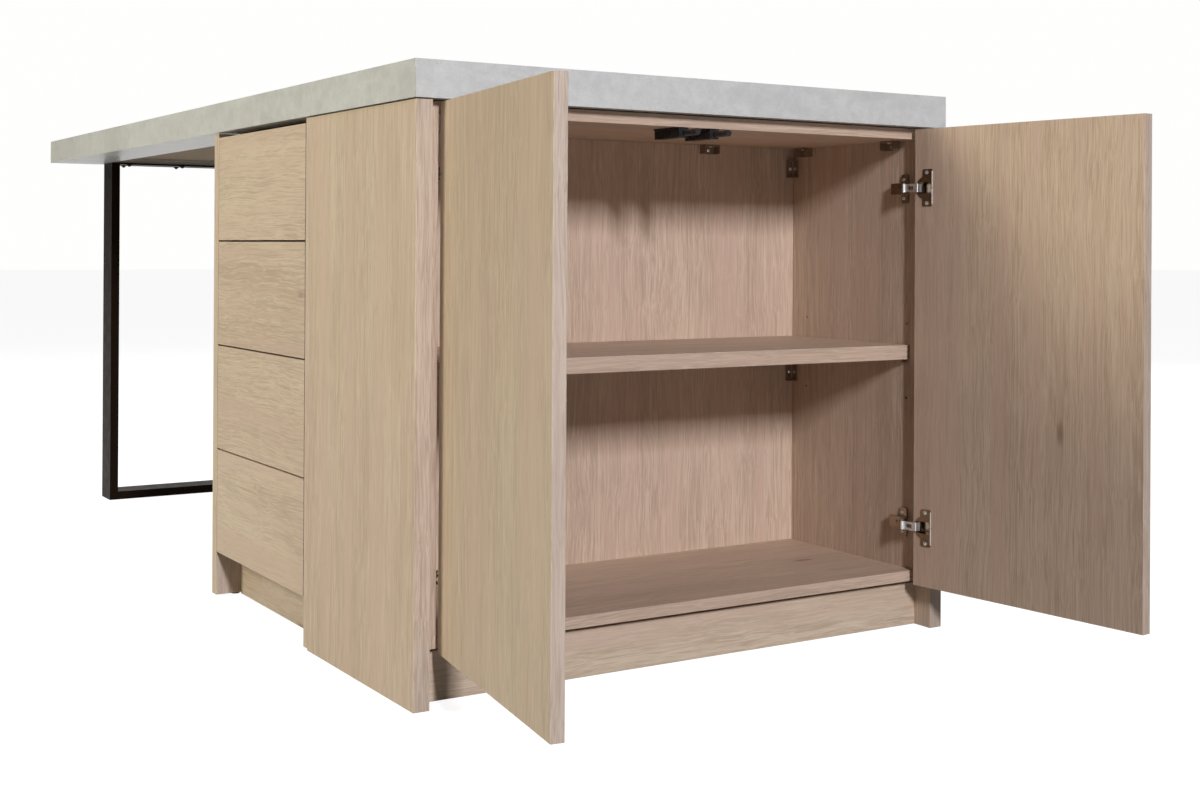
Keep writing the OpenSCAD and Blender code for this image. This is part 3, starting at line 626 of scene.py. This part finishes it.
@dataclass
class Repeat:
    """A Geometry Nodes tree that sets one fitting at many places.

    Args:
        name: The tree's name.
        sizes: Named inputs with their values in metres.
    """

    name: str
    sizes: dict[str, float]

    def start(self) -> tuple[NodeTree, Tree, bpy.types.Node]:
        """Makes the tree with its inputs.

        Returns:
            The tree, a Tree on it and its input node.
        """
        tree = bpy.data.node_groups.new(self.name, "GeometryNodeTree")
        tree.interface.new_socket("Places", in_out="INPUT", socket_type="NodeSocketGeometry")
        for key in self.sizes:
            tree.interface.new_socket(key, in_out="INPUT", socket_type="NodeSocketFloat")
        tree.interface.new_socket("Finish", in_out="INPUT", socket_type="NodeSocketMaterial")
        tree.interface.new_socket("Fittings", in_out="OUTPUT", socket_type="NodeSocketGeometry")
        t = Tree(tree)
        return tree, t, t.add("NodeGroupInput")

    def end(self, t: Tree, inp: bpy.types.Node, fitting: Socket) -> None:
        """Sets the fitting at each place, realises it and gives it its finish.

        Args:
            t: The tree being built.
            inp: Its input node.
            fitting: The fitting's geometry, standing along Z at the origin.
        """
        turn = t.add("GeometryNodeInputNamedAttribute", data_type="FLOAT_VECTOR")
        turn.inputs["Name"].default_value = "facing"
        lay = t.add("FunctionNodeAlignEulerToVector", axis="Z")
        t.link(turn.outputs["Attribute"], lay.inputs["Vector"])
        setter = t.add("GeometryNodeInstanceOnPoints")
        t.link(inp.outputs["Places"], setter.inputs["Points"])
        t.link(fitting, setter.inputs["Instance"])
        t.link(lay.outputs["Rotation"], setter.inputs["Rotation"])
        real = t.add("GeometryNodeRealizeInstances")
        t.link(setter.outputs["Instances"], real.inputs["Geometry"])
        dress = t.add("GeometryNodeSetMaterial")
        t.link(real.outputs["Geometry"], dress.inputs["Geometry"])
        t.link(inp.outputs["Finish"], dress.inputs["Material"])
        out = t.add("NodeGroupOutput")
        t.link(dress.outputs["Geometry"], out.inputs["Fittings"])

    def tree(self) -> NodeTree:
        """Builds the tree; each fitting says how."""
        raise NotImplementedError

    def piece(self, name: str, places: list[tuple[Vector, Vector]],
              mat: bpy.types.Material) -> bpy.types.Object:
        """Makes one plain mesh with the fitting at every place.

        Args:
            name: Name of the piece.
            places: Points and the directions that the fittings face.
            mat: The finish.

        Returns:
            The finished piece, at the origin.
        """
        seeds = bpy.data.meshes.new(name + "_places")
        seeds.from_pydata([tuple(point) for point, _ in places], [], [])
        facing = seeds.attributes.new("facing", "FLOAT_VECTOR", "POINT")
        facing.data.foreach_set("vector", [c for _, way in places for c in way])
        carrier = bpy.data.objects.new(name + "_places", seeds)
        bpy.context.scene.collection.objects.link(carrier)
        tree = self.tree()
        modifier = carrier.modifiers.new(self.name, "NODES")
        modifier.node_group = tree
        values = {**self.sizes, "Finish": mat}
        for item in tree.interface.items_tree:
            if item.in_out == "INPUT" and item.name in values:
                modifier[item.identifier] = values[item.name]
        bpy.context.view_layer.update()
        shown = carrier.evaluated_get(bpy.context.evaluated_depsgraph_get())
        mesh = bpy.data.meshes.new_from_object(shown)
        mesh.name = name
        carrier.modifiers.remove(modifier)
        bpy.data.objects.remove(carrier)
        piece = bpy.data.objects.new(name, mesh)
        bpy.context.scene.collection.objects.link(piece)
        return piece


@dataclass
class Screw(Repeat):
    """Domed screws with a driver's pocket.

    Args:
        recess: Shape of the pocket.
        facets: Sides of the round head.
        dome: How far the rim falls below the middle, as a share of the height.
        hex_reach: Corner radius of a hex pocket, as a share of the head's width.
        bar: Length and width of a cross pocket's bars, as shares of that width.
    """

    recess: Recess = Recess.CROSS
    facets: int = 36
    dome: float = 0.55
    hex_reach: float = 0.26
    bar: tuple[float, float] = (0.52, 0.13)

    def tree(self) -> NodeTree:
        """Builds the head's dome, its pocket and the shank.

        Returns:
            The tree.
        """
        tree, t, inp = self.start()
        width, height = inp.outputs["Head Width"], inp.outputs["Head Height"]
        radius = t.math("MULTIPLY", width, 0.5)
        head = t.add("GeometryNodeMeshCylinder", fill_type="TRIANGLE_FAN",
                     Vertices=self.facets, Side_Segments=2, Fill_Segments=6)
        t.link(radius, head.inputs["Radius"])
        t.link(height, head.inputs["Depth"])
        # rim stands lowest, middle highest
        spot = t.add("ShaderNodeSeparateXYZ")
        t.link(t.add("GeometryNodeInputPosition").outputs[0], spot.inputs[0])
        square = t.math("ADD", t.math("POWER", spot.outputs["X"], 2.0),
                        t.math("POWER", spot.outputs["Y"], 2.0))
        fall = t.math("DIVIDE", square, t.math("POWER", radius, 2.0))
        upper = t.math("GREATER_THAN", spot.outputs["Z"], 0.0)
        drop = t.math("MULTIPLY", t.math("MULTIPLY", fall, upper),
                      t.math("MULTIPLY", height, -self.dome))
        rise = t.math("ADD", drop, t.math("MULTIPLY", height, 0.5))
        dome = t.add("GeometryNodeSetPosition")
        t.link(head.outputs["Mesh"], dome.inputs["Geometry"])
        t.link(t.joined(Z=rise), dome.inputs["Offset"])
        cut = t.add("GeometryNodeMeshBoolean", operation="DIFFERENCE", solver="EXACT")
        t.link(dome.outputs["Geometry"], cut.inputs["Mesh 1"])
        for pocket in self._pocket(t, width, height):
            t.link(pocket, cut.inputs["Mesh 2"])
        shank = t.add("GeometryNodeMeshCylinder", Vertices=20)
        t.link(t.math("MULTIPLY", inp.outputs["Shank Width"], 0.5), shank.inputs["Radius"])
        t.link(inp.outputs["Shank Length"], shank.inputs["Depth"])
        down = t.joined(Z=t.math("MULTIPLY", inp.outputs["Shank Length"], -0.5))
        both = t.add("GeometryNodeJoinGeometry")
        t.link(cut.outputs["Mesh"], both.inputs["Geometry"])
        t.link(t.moved(shank.outputs["Mesh"], down), both.inputs["Geometry"])
        self.end(t, inp, both.outputs["Geometry"])
        return tree

    def _pocket(self, t: Tree, width: Socket,
                height: Socket) -> list[Socket]:
        """Builds the solids that cut the driver's pocket.

        Args:
            t: The tree being built.
            width: The head's width.
            height: The head's height.

        Returns:
            The cutting solids.
        """
        rise = t.joined(Z=height)
        if self.recess is Recess.HEX:
            bit = t.add("GeometryNodeMeshCylinder", Vertices=self.recess.value)
            t.link(t.math("MULTIPLY", width, self.hex_reach), bit.inputs["Radius"])
            t.link(t.math("MULTIPLY", height, 1.2), bit.inputs["Depth"])
            return [t.moved(bit.outputs["Mesh"], rise)]
        bars = []
        for long, short in (self.bar, self.bar[::-1]):
            bar = t.add("GeometryNodeMeshCube")
            t.link(t.joined(X=t.math("MULTIPLY", width, long), Y=t.math("MULTIPLY", width, short),
                            Z=t.math("MULTIPLY", height, 1.1)), bar.inputs["Size"])
            bars.append(t.moved(bar.outputs["Mesh"], rise))
        return bars


@dataclass
class Bead(Repeat):
    """A slim pressed rib, lying along Z of each place."""

    def tree(self) -> NodeTree:
        """Sweeps a round profile along a line with rounded ends.

        Returns:
            The tree.
        """
        tree, t, inp = self.start()
        length, width = inp.outputs["Length"], inp.outputs["Width"]
        line = t.add("GeometryNodeCurvePrimitiveLine")
        for socket, share in (("Start", -0.5), ("End", 0.5)):
            t.link(t.joined(Z=t.math("MULTIPLY", length, share)), line.inputs[socket])
        fine = t.add("GeometryNodeResampleCurve", Count=41)
        t.link(line.outputs["Curve"], fine.inputs["Curve"])
        # the rib dies away over the last twentieth at each end
        along = t.add("GeometryNodeSplineParameter")
        off = t.math("ABSOLUTE", t.math("SUBTRACT", along.outputs["Factor"], 0.5))
        left = t.math("MULTIPLY", t.math("SUBTRACT", 0.5, off), 20.0)
        share = t.math("MINIMUM", t.math("SQRT", t.math("MAXIMUM", 0.02, left)), 1.0)
        round_bar = t.add("GeometryNodeCurvePrimitiveCircle", Resolution=14)
        t.link(t.math("MULTIPLY", width, 0.5), round_bar.inputs["Radius"])
        sweep = t.add("GeometryNodeCurveToMesh", Fill_Caps=True)
        t.link(fine.outputs["Curve"], sweep.inputs["Curve"])
        t.link(round_bar.outputs["Curve"], sweep.inputs["Profile Curve"])
        t.link(share, sweep.inputs["Scale"])
        self.end(t, inp, sweep.outputs["Mesh"])
        return tree


@dataclass
class Thread(Repeat):
    """The rounded thread of an adjustable foot, as rings up its stem.

    Args:
        turns: How many rings.
        crest: Radius of a ring's section, as a share of the pitch.
    """

    turns: int = 9
    crest: float = 0.36

    def tree(self) -> NodeTree:
        """Stacks rings of a round section along Z.

        Returns:
            The tree.
        """
        tree, t, inp = self.start()
        pitch = inp.outputs["Pitch"]
        stack = t.add("GeometryNodeMeshLine", Count=self.turns)
        t.link(t.joined(Z=pitch), stack.inputs["Offset"])
        hoop = t.add("GeometryNodeCurvePrimitiveCircle", Resolution=40)
        t.link(t.math("MULTIPLY", inp.outputs["Stem Width"], 0.5), hoop.inputs["Radius"])
        bar = t.add("GeometryNodeCurvePrimitiveCircle", Resolution=8)
        t.link(t.math("MULTIPLY", pitch, self.crest), bar.inputs["Radius"])
        sweep = t.add("GeometryNodeCurveToMesh")
        t.link(hoop.outputs["Curve"], sweep.inputs["Curve"])
        t.link(bar.outputs["Curve"], sweep.inputs["Profile Curve"])
        rings = t.add("GeometryNodeInstanceOnPoints")
        t.link(stack.outputs["Mesh"], rings.inputs["Points"])
        t.link(sweep.outputs["Mesh"], rings.inputs["Instance"])
        self.end(t, inp, rings.outputs["Instances"])
        return tree


# -------------------- sub-assemblies


class SubAssembly:
    """What all sub-assemblies share: dressing nodes and adding pieces to bodies."""

    def build(self) -> None:
        """Builds the sub-assembly's own meshes, dresses everything and reports it."""
        self.make()
        self.dress()

    def make(self) -> None:
        """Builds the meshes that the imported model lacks; by default there are none."""

    def dress(self) -> None:
        """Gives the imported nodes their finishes; each sub-assembly says how."""
        raise NotImplementedError

    def finish(self, finish: Finish, grain: Grain, *nodes: str,
               across: RGB = (1.0, 0.0, 0.0)) -> None:
        """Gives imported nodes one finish, each with its own cut of the figure.

        Args:
            finish: The finish.
            grain: Direction of the grain.
            nodes: The nodes' names.
            across: The way that the boards' inner faces look.
        """
        for node in nodes:
            seed = float(sum(ord(c) * (i + 1) for i, c in enumerate(node)) % SEEDS)
            mat = finish.build(grain, seed if finish.group is oak_group else 0.0, across)
            paint(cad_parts[node], mat)
            LOG.info("%s: %s finished in %s", type(self).__name__, node, finish.name)

    def add(self, piece: bpy.types.Object, body: str, finish: Finish, *stands_for: str) -> None:
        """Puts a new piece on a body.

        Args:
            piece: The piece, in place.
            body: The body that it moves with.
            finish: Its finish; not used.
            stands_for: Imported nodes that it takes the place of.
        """
        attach(piece, body)
        if stands_for:
            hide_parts(*stands_for)
        LOG.info("%s: %s added, %d faces", type(self).__name__, piece.name,
                 len(piece.data.polygons))

    def screws(self, node: str, body: str, finish: Finish, kind: Screw) -> None:
        """Makes detailed fasteners in the place of a node's plain ones.

        Args:
            node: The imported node.
            body: The body that it moves with.
            finish: The fasteners' finish.
            kind: The fastener.
        """
        places = [head_seat(points, kind.sizes["Head Height"]) for points in cad_solids(node)]
        piece = kind.piece(node + "_detailed", places, finish.build())
        self.add(piece, body, finish, node)


def paint(obj: bpy.types.Object, mat: bpy.types.Material) -> None:
    """Puts one material on all of an object's slots.

    Args:
        obj: The object.
        mat: The material.
    """
    if not obj.material_slots:
        obj.data.materials.append(mat)
    for slot in obj.material_slots:
        slot.material = mat


@dataclass
class Worktop(SubAssembly):
    """Stone-look sheet, mitred edge strips and rims on a chipboard core."""

    def dress(self) -> None:
        """Finishes the sheet, the strips and the core."""
        self.finish(STONE, Grain.UP, "worktop_sheet", "worktop_aprons", "worktop_rims")
        self.finish(CHIPBOARD, Grain.UP, "worktop_core")


@dataclass
class OuterPanels(SubAssembly):
    """End panels, partition, far side panel, kickboards and glides."""

    def dress(self) -> None:
        """Finishes the boards with upright or lying grain."""
        self.finish(OAK, Grain.UP, "end_panel_left", "end_panel_right", "drawer_end_panel",
                    "partition_panel", "back_panel")
        self.finish(OAK_PLAIN, Grain.ACROSS, "end_kickboard")
        self.finish(OAK, Grain.ALONG, "side_kickboard")
        self.finish(BLACK, Grain.UP, "panel_glides", "support_pads")


@dataclass
class Cupboard(SubAssembly):
    """Carcass behind the doors, with brackets, shelf pins, feet and latches.

    Args:
        screw_head: Width of a bracket screw's head.
        screw_rise: Height of that head.
        screw_shank: Width of its shank.
        screw_length: Length of its shank.
        stem_width: Width of a foot's stem.
        thread_pitch: Rise of the stem's thread in one turn.
        thread_start: Height at which the thread begins.
    """

    screw_head: float = 0.0064
    screw_rise: float = 0.0018
    screw_shank: float = 0.0035
    screw_length: float = 0.009
    stem_width: float = 0.028
    thread_pitch: float = 0.005
    thread_start: float = 0.020

    def make(self) -> None:
        """Builds the bracket screws and the threads of the feet."""
        kind = Screw("bracket_screw", {
            "Head Width": self.screw_head, "Head Height": self.screw_rise,
            "Shank Width": self.screw_shank, "Shank Length": self.screw_length})
        self.screws("bracket_screws", "island", STEEL_LIT_HIGHLIGHT, kind)
        places = []
        for points in cad_solids("cabinet_feet"):
            x, y = (points.min(axis=0) + points.max(axis=0))[:2] / 2
            places.append((Vector((x, y, self.thread_start)), Vector((0.0, 0.0, 1.0))))
        thread = Thread("foot_thread", {"Stem Width": self.stem_width,
                                        "Pitch": self.thread_pitch})
        self.add(thread.piece("feet_threads", places, BLACK.build()), "island", BLACK)

    def dress(self) -> None:
        """Finishes the carcass boards and the fittings."""
        self.finish(OAK_INNER_SHADED, Grain.UP, "cabinet_side_left", "cabinet_side_right")
        self.finish(OAK_BACK, Grain.UP, "cabinet_back")
        self.finish(OAK_INNER_SHADED, Grain.ACROSS, "cabinet_bottom", "cabinet_top", "shelf")
        self.finish(NICKEL_DARK_REFLECTION, Grain.UP, "shelf_pins")
        self.finish(BROWN, Grain.UP, "corner_brackets")
        self.finish(BLACK, Grain.UP, "cabinet_feet", "latch_housings", "latch_plunger_left",
                    "latch_plunger_right")


@dataclass
class Doors(SubAssembly):
    """Both doors on cup hinges, with the hinges' plates, arms and links.

    Args:
        screw_head: Width of a hinge screw's head.
        screw_rise: Height of that head.
        screw_shank: Width of its shank.
        screw_length: Length of its shank.
        bead_length: Length of the rib pressed along a hinge flange.
        bead_width: Width of that rib.
        lip_rise: How far the flange's lips stand over its face.
        open_left: Angle at which the left door stands open at rest, in degrees.
        open_right: The same for the right door.
    """

    screw_head: float = 0.007
    screw_rise: float = 0.0018
    screw_shank: float = 0.004
    screw_length: float = 0.010
    bead_length: float = 0.058
    bead_width: float = 0.0016
    lip_rise: float = 0.001
    open_left: float = 98.5
    open_right: float = 96.0

    def make(self) -> None:
        """Builds the hinge screws and the ribs along the hinge flanges."""
        kind = Screw("hinge_screw", {
            "Head Width": self.screw_head, "Head Height": self.screw_rise,
            "Shank Width": self.screw_shank, "Shank Length": self.screw_length})
        self.screws("hinge_plate_screws", "island", STEEL_LIT_HIGHLIGHT, kind)
        for side in ("left", "right"):
            self.screws(f"cup_screws_{side}", f"door_{side}", STEEL_LIT_HIGHLIGHT, kind)
            self._beads(side)

    def _beads(self, side: str) -> None:
        """Builds one door's flange ribs.

        Args:
            side: Which door.
        """
        out = head_seat(cad_solids(f"cup_screws_{side}")[0], self.screw_rise)[1]
        out = Vector((out.x, out.y, 0.0)).normalized()
        # along the door's inner face, away from its hinge edge
        away = out.cross(Vector((0.0, 0.0, 1.0)))
        away = away if away.y < 0.0 else -away
        places = []
        for points in cad_solids(f"hinge_cups_{side}"):
            far = (points @ np.array(away)).max() - self.bead_width * 0.55
            level = (points @ np.array(out)).max() - self.lip_rise
            middle = (points[:, 2].min() + points[:, 2].max()) / 2
            spot = away * far + out * level
            places.append((Vector((spot.x, spot.y, middle)), Vector((0.0, 0.0, 1.0))))
        bead = Bead("flange_bead", {"Length": self.bead_length, "Width": self.bead_width})
        piece = bead.piece(f"flange_beads_{side}", places, STEEL_LIT_HIGHLIGHT.build())
        self.add(piece, f"door_{side}", STEEL_LIT_HIGHLIGHT)

    def dress(self) -> None:
        """Finishes the doors and their hinges."""
        for door, angle, side in (("door_left", self.open_left, 1.0),
                                  ("door_right", self.open_right, -1.0)):
            turn = math.radians(angle)
            self.finish(OAK_DOOR_SHADED_INSIDE, Grain.UP, door,
                        across=(side * math.sin(turn), math.cos(turn), 0.0))
        self.finish(NICKEL_DARK_REFLECTION, Grain.UP, "hinge_arms", "hinge_plates", "hinge_cups_left",
                    "hinge_cups_right")
        self.finish(STEEL_LIT_HIGHLIGHT, Grain.UP, "hinge_links_left", "hinge_links_right")


@dataclass
class Drawers(SubAssembly):
    """Drawer unit: rails and back, four fronts with their boxes, and the runners.

    Args:
        count: How many drawers.
    """

    count: int = 4

    def dress(self) -> None:
        """Finishes the unit, then each drawer."""
        self.finish(OAK_INNER_SHADED, Grain.ALONG, "drawer_unit_bottom", "drawer_unit_rails")
        self.finish(OAK_INNER_SHADED, Grain.UP, "drawer_unit_back")
        self.finish(ZINC, Grain.UP, "runner_cabinet")
        for k in range(1, self.count + 1):
            self.finish(OAK, Grain.ALONG, f"drawer_front_{k}")
            self.finish(OAK_INNER_SHADED, Grain.ACROSS, f"drawer_box_{k}")
            self.finish(ZINC, Grain.UP, f"runner_middle_{k}", f"runner_drawer_{k}")


@dataclass
class HoopLeg(SubAssembly):
    """Welded steel hoop with its socket-head bolts.

    Args:
        bolt_head: Width of a bolt's head.
        bolt_rise: Height of that head.
        bolt_shank: Width of its shank.
        bolt_length: Length of its shank.
    """

    bolt_head: float = 0.013
    bolt_rise: float = 0.003
    bolt_shank: float = 0.006
    bolt_length: float = 0.004

    def make(self) -> None:
        """Builds the bolts."""
        kind = Screw("leg_bolt", {
            "Head Width": self.bolt_head, "Head Height": self.bolt_rise,
            "Shank Width": self.bolt_shank, "Shank Length": self.bolt_length}, Recess.HEX)
        self.screws("leg_bolts", "island", POWDER, kind)

    def dress(self) -> None:
        """Finishes the hoop."""
        self.finish(POWDER, Grain.UP, "leg_hoop")


# -------------------- stage


@dataclass(frozen=True)
class PhotoCamera:
    """The camera solved from the photograph.

    Args:
        place: Its place in metres.
        yaw: Turn about Z in degrees, 0 looking along +Y.
        pitch: Height angle of the back vector in degrees.
        roll: Turn about its own axis in degrees.
        focal: Focal length in pixels of the picture.
        centre: Principal point in pixels.
        size: Picture size in pixels.
    """

    place: RGB = (-1.41307, -2.134557, 0.649589)
    yaw: float = -33.272
    pitch: float = -0.137
    roll: float = 0.312
    focal: float = 1620.8
    centre: tuple[float, float] = (683.38, 243.09)
    size: tuple[int, int] = (1200, 801)

    def build(self) -> None:
        """Makes the camera and sets it as the scene's."""
        a, e, r = (math.radians(v) for v in (self.yaw, self.pitch, self.roll))
        back = Vector((math.sin(a) * math.cos(e), -math.cos(a) * math.cos(e), math.sin(e)))
        right = (-back).cross(Vector((0, 0, 1))).normalized()
        up = right.cross(-back)
        rr = right * math.cos(r) + up * math.sin(r)
        uu = -right * math.sin(r) + up * math.cos(r)
        data = bpy.data.cameras.new("photo_camera")
        data.sensor_fit, data.sensor_width = "HORIZONTAL", 36.0
        data.lens = self.focal / self.size[0] * 36.0
        data.shift_x = (self.size[0] / 2 - self.centre[0]) / self.size[0]
        data.shift_y = (self.centre[1] - self.size[1] / 2) / self.size[0]
        data.clip_start, data.clip_end = 0.05, 100.0
        cam = bpy.data.objects.new("photo_camera", data)
        cam.matrix_world = Matrix.Translation(self.place) @ Matrix((rr, uu, back)).transposed().to_4x4()
        bpy.context.scene.collection.objects.link(cam)
        bpy.context.scene.camera = cam


@dataclass(frozen=True)
class AreaLight:
    """A soft light.

    Args:
        name: The light's name.
        place: Where it hangs.
        aim: The point it faces.
        size: Its width in metres.
        power: Watts.
        colour: Its colour.
        height: Its height in metres, where that isn't its width.
    """

    name: str
    place: RGB
    aim: RGB
    size: float
    power: float
    colour: RGB = (1.0, 1.0, 1.0)
    height: float | None = None

    def build(self) -> None:
        """Makes the light."""
        data = bpy.data.lights.new(self.name, "AREA")
        data.shape, data.size, data.size_y = "RECTANGLE", self.size, self.height or self.size
        data.energy, data.color = self.power, self.colour
        obj = bpy.data.objects.new(self.name, data)
        obj.location = self.place
        aim = Vector(self.aim) - Vector(self.place)
        obj.rotation_euler = aim.to_track_quat("-Z", "Y").to_euler()
        bpy.context.scene.collection.objects.link(obj)


class Studio:
    """White studio: a bright backdrop behind the island, a dim room before it."""

    behind: RGB = (0.548, 0.836, 0.0)
    dim, bright = 0.03, 0.80
    paper: RGB = (1.0, 0.995, 0.99)
    floor_albedo, floor_glow = 0.34, 0.90
    floor_reach, floor_gap = 40.0, 0.0005
    lights = (
        AreaLight("key", (-4.6, 1.3, 2.6), (-0.2, 0.3, 0.5), 1.5, 150.0, (1.0, 0.957, 0.79)),
        AreaLight("front", (-1.60, -6.3, 3.25), (0.0, 0.0, 0.45), 0.35, 402.0, (0.947, 0.942, 1.0), 1.1),
        AreaLight("rear", (3.4, 4.6, 3.0), (0.3, 1.2, 0.3), 2.0, 150.0),
    )

    def build(self) -> None:
        """Makes the world, the floor and the lights."""
        world = bpy.data.worlds.new("studio")
        bpy.context.scene.world = world
        world.use_nodes = True
        t = Tree(world.node_tree)
        world.node_tree.nodes.clear()
        out = t.add("ShaderNodeOutputWorld")
        sky = t.add("ShaderNodeBackground")
        sky.inputs["Color"].default_value = (*self.paper, 1.0)
        toward = t.add("ShaderNodeVectorMath", operation="DOT_PRODUCT")
        t.link(t.add("ShaderNodeTexCoord").outputs["Generated"], toward.inputs[0])
        toward.inputs[1].default_value = self.behind
        path = t.add("ShaderNodeLightPath")
        room = t.ramp(toward.outputs["Value"], 0.60, 0.97, self.dim, self.bright)
        # gloss and glass see the backdrop as white as the lens does
        mirrored = t.math("MAXIMUM", path.outputs["Is Glossy Ray"],
                          path.outputs["Is Transmission Ray"])
        shine = t.ramp(toward.outputs["Value"], 0.7, 0.97, 0.0, 1.0 - self.bright)
        room = t.math("ADD", room, t.math("MULTIPLY", mirrored, shine))
        t.link(t.math("MAXIMUM", room, path.outputs["Is Camera Ray"]), sky.inputs["Strength"])
        t.link(sky.outputs[0], out.inputs["Surface"])
        self._floor()
        for light in self.lights:
            light.build()

    def _floor(self) -> None:
        """Makes the plain pale floor."""
        mesh = bpy.data.meshes.new("floor")
        bm = bmesh.new()
        bmesh.ops.create_grid(bm, x_segments=1, y_segments=1, size=self.floor_reach)
        bm.to_mesh(mesh)
        bm.free()
        floor = bpy.data.objects.new("floor", mesh)
        floor.location.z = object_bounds()[0][2] - self.floor_gap
        bpy.context.scene.collection.objects.link(floor)
        mat = bpy.data.materials.new("floor_white")
        mat.use_nodes = True
        t = Tree(mat.node_tree)
        shader = mat.node_tree.nodes["Principled BSDF"]
        shader.inputs["Base Color"].default_value = (*[self.floor_albedo] * 3, 1.0)
        shader.inputs["Roughness"].default_value = 0.9
        shader.inputs["Specular IOR Level"].default_value = 0.1
        # the lens sees the lit floor as white, and its shadows as pale ones
        shader.inputs["Emission Color"].default_value = (1.0, 1.0, 1.0, 1.0)
        path = t.add("ShaderNodeLightPath")
        seen = t.math("MAXIMUM", path.outputs["Is Camera Ray"], path.outputs["Is Glossy Ray"])
        t.link(t.math("MULTIPLY", seen, self.floor_glow), shader.inputs["Emission Strength"])
        paint(floor, mat)
        floor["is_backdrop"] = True


def main() -> None:
    """Builds the whole scene."""
    logging.basicConfig(level=logging.INFO)
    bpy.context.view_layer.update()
    bpy.context.scene.view_settings.view_transform = "Standard"
    for group in (Worktop(), OuterPanels(), Cupboard(), Doors(), Drawers(), HoopLeg()):
        group.build()
    Studio().build()
    PhotoCamera().build()


if __name__ == "__main__":
    main()
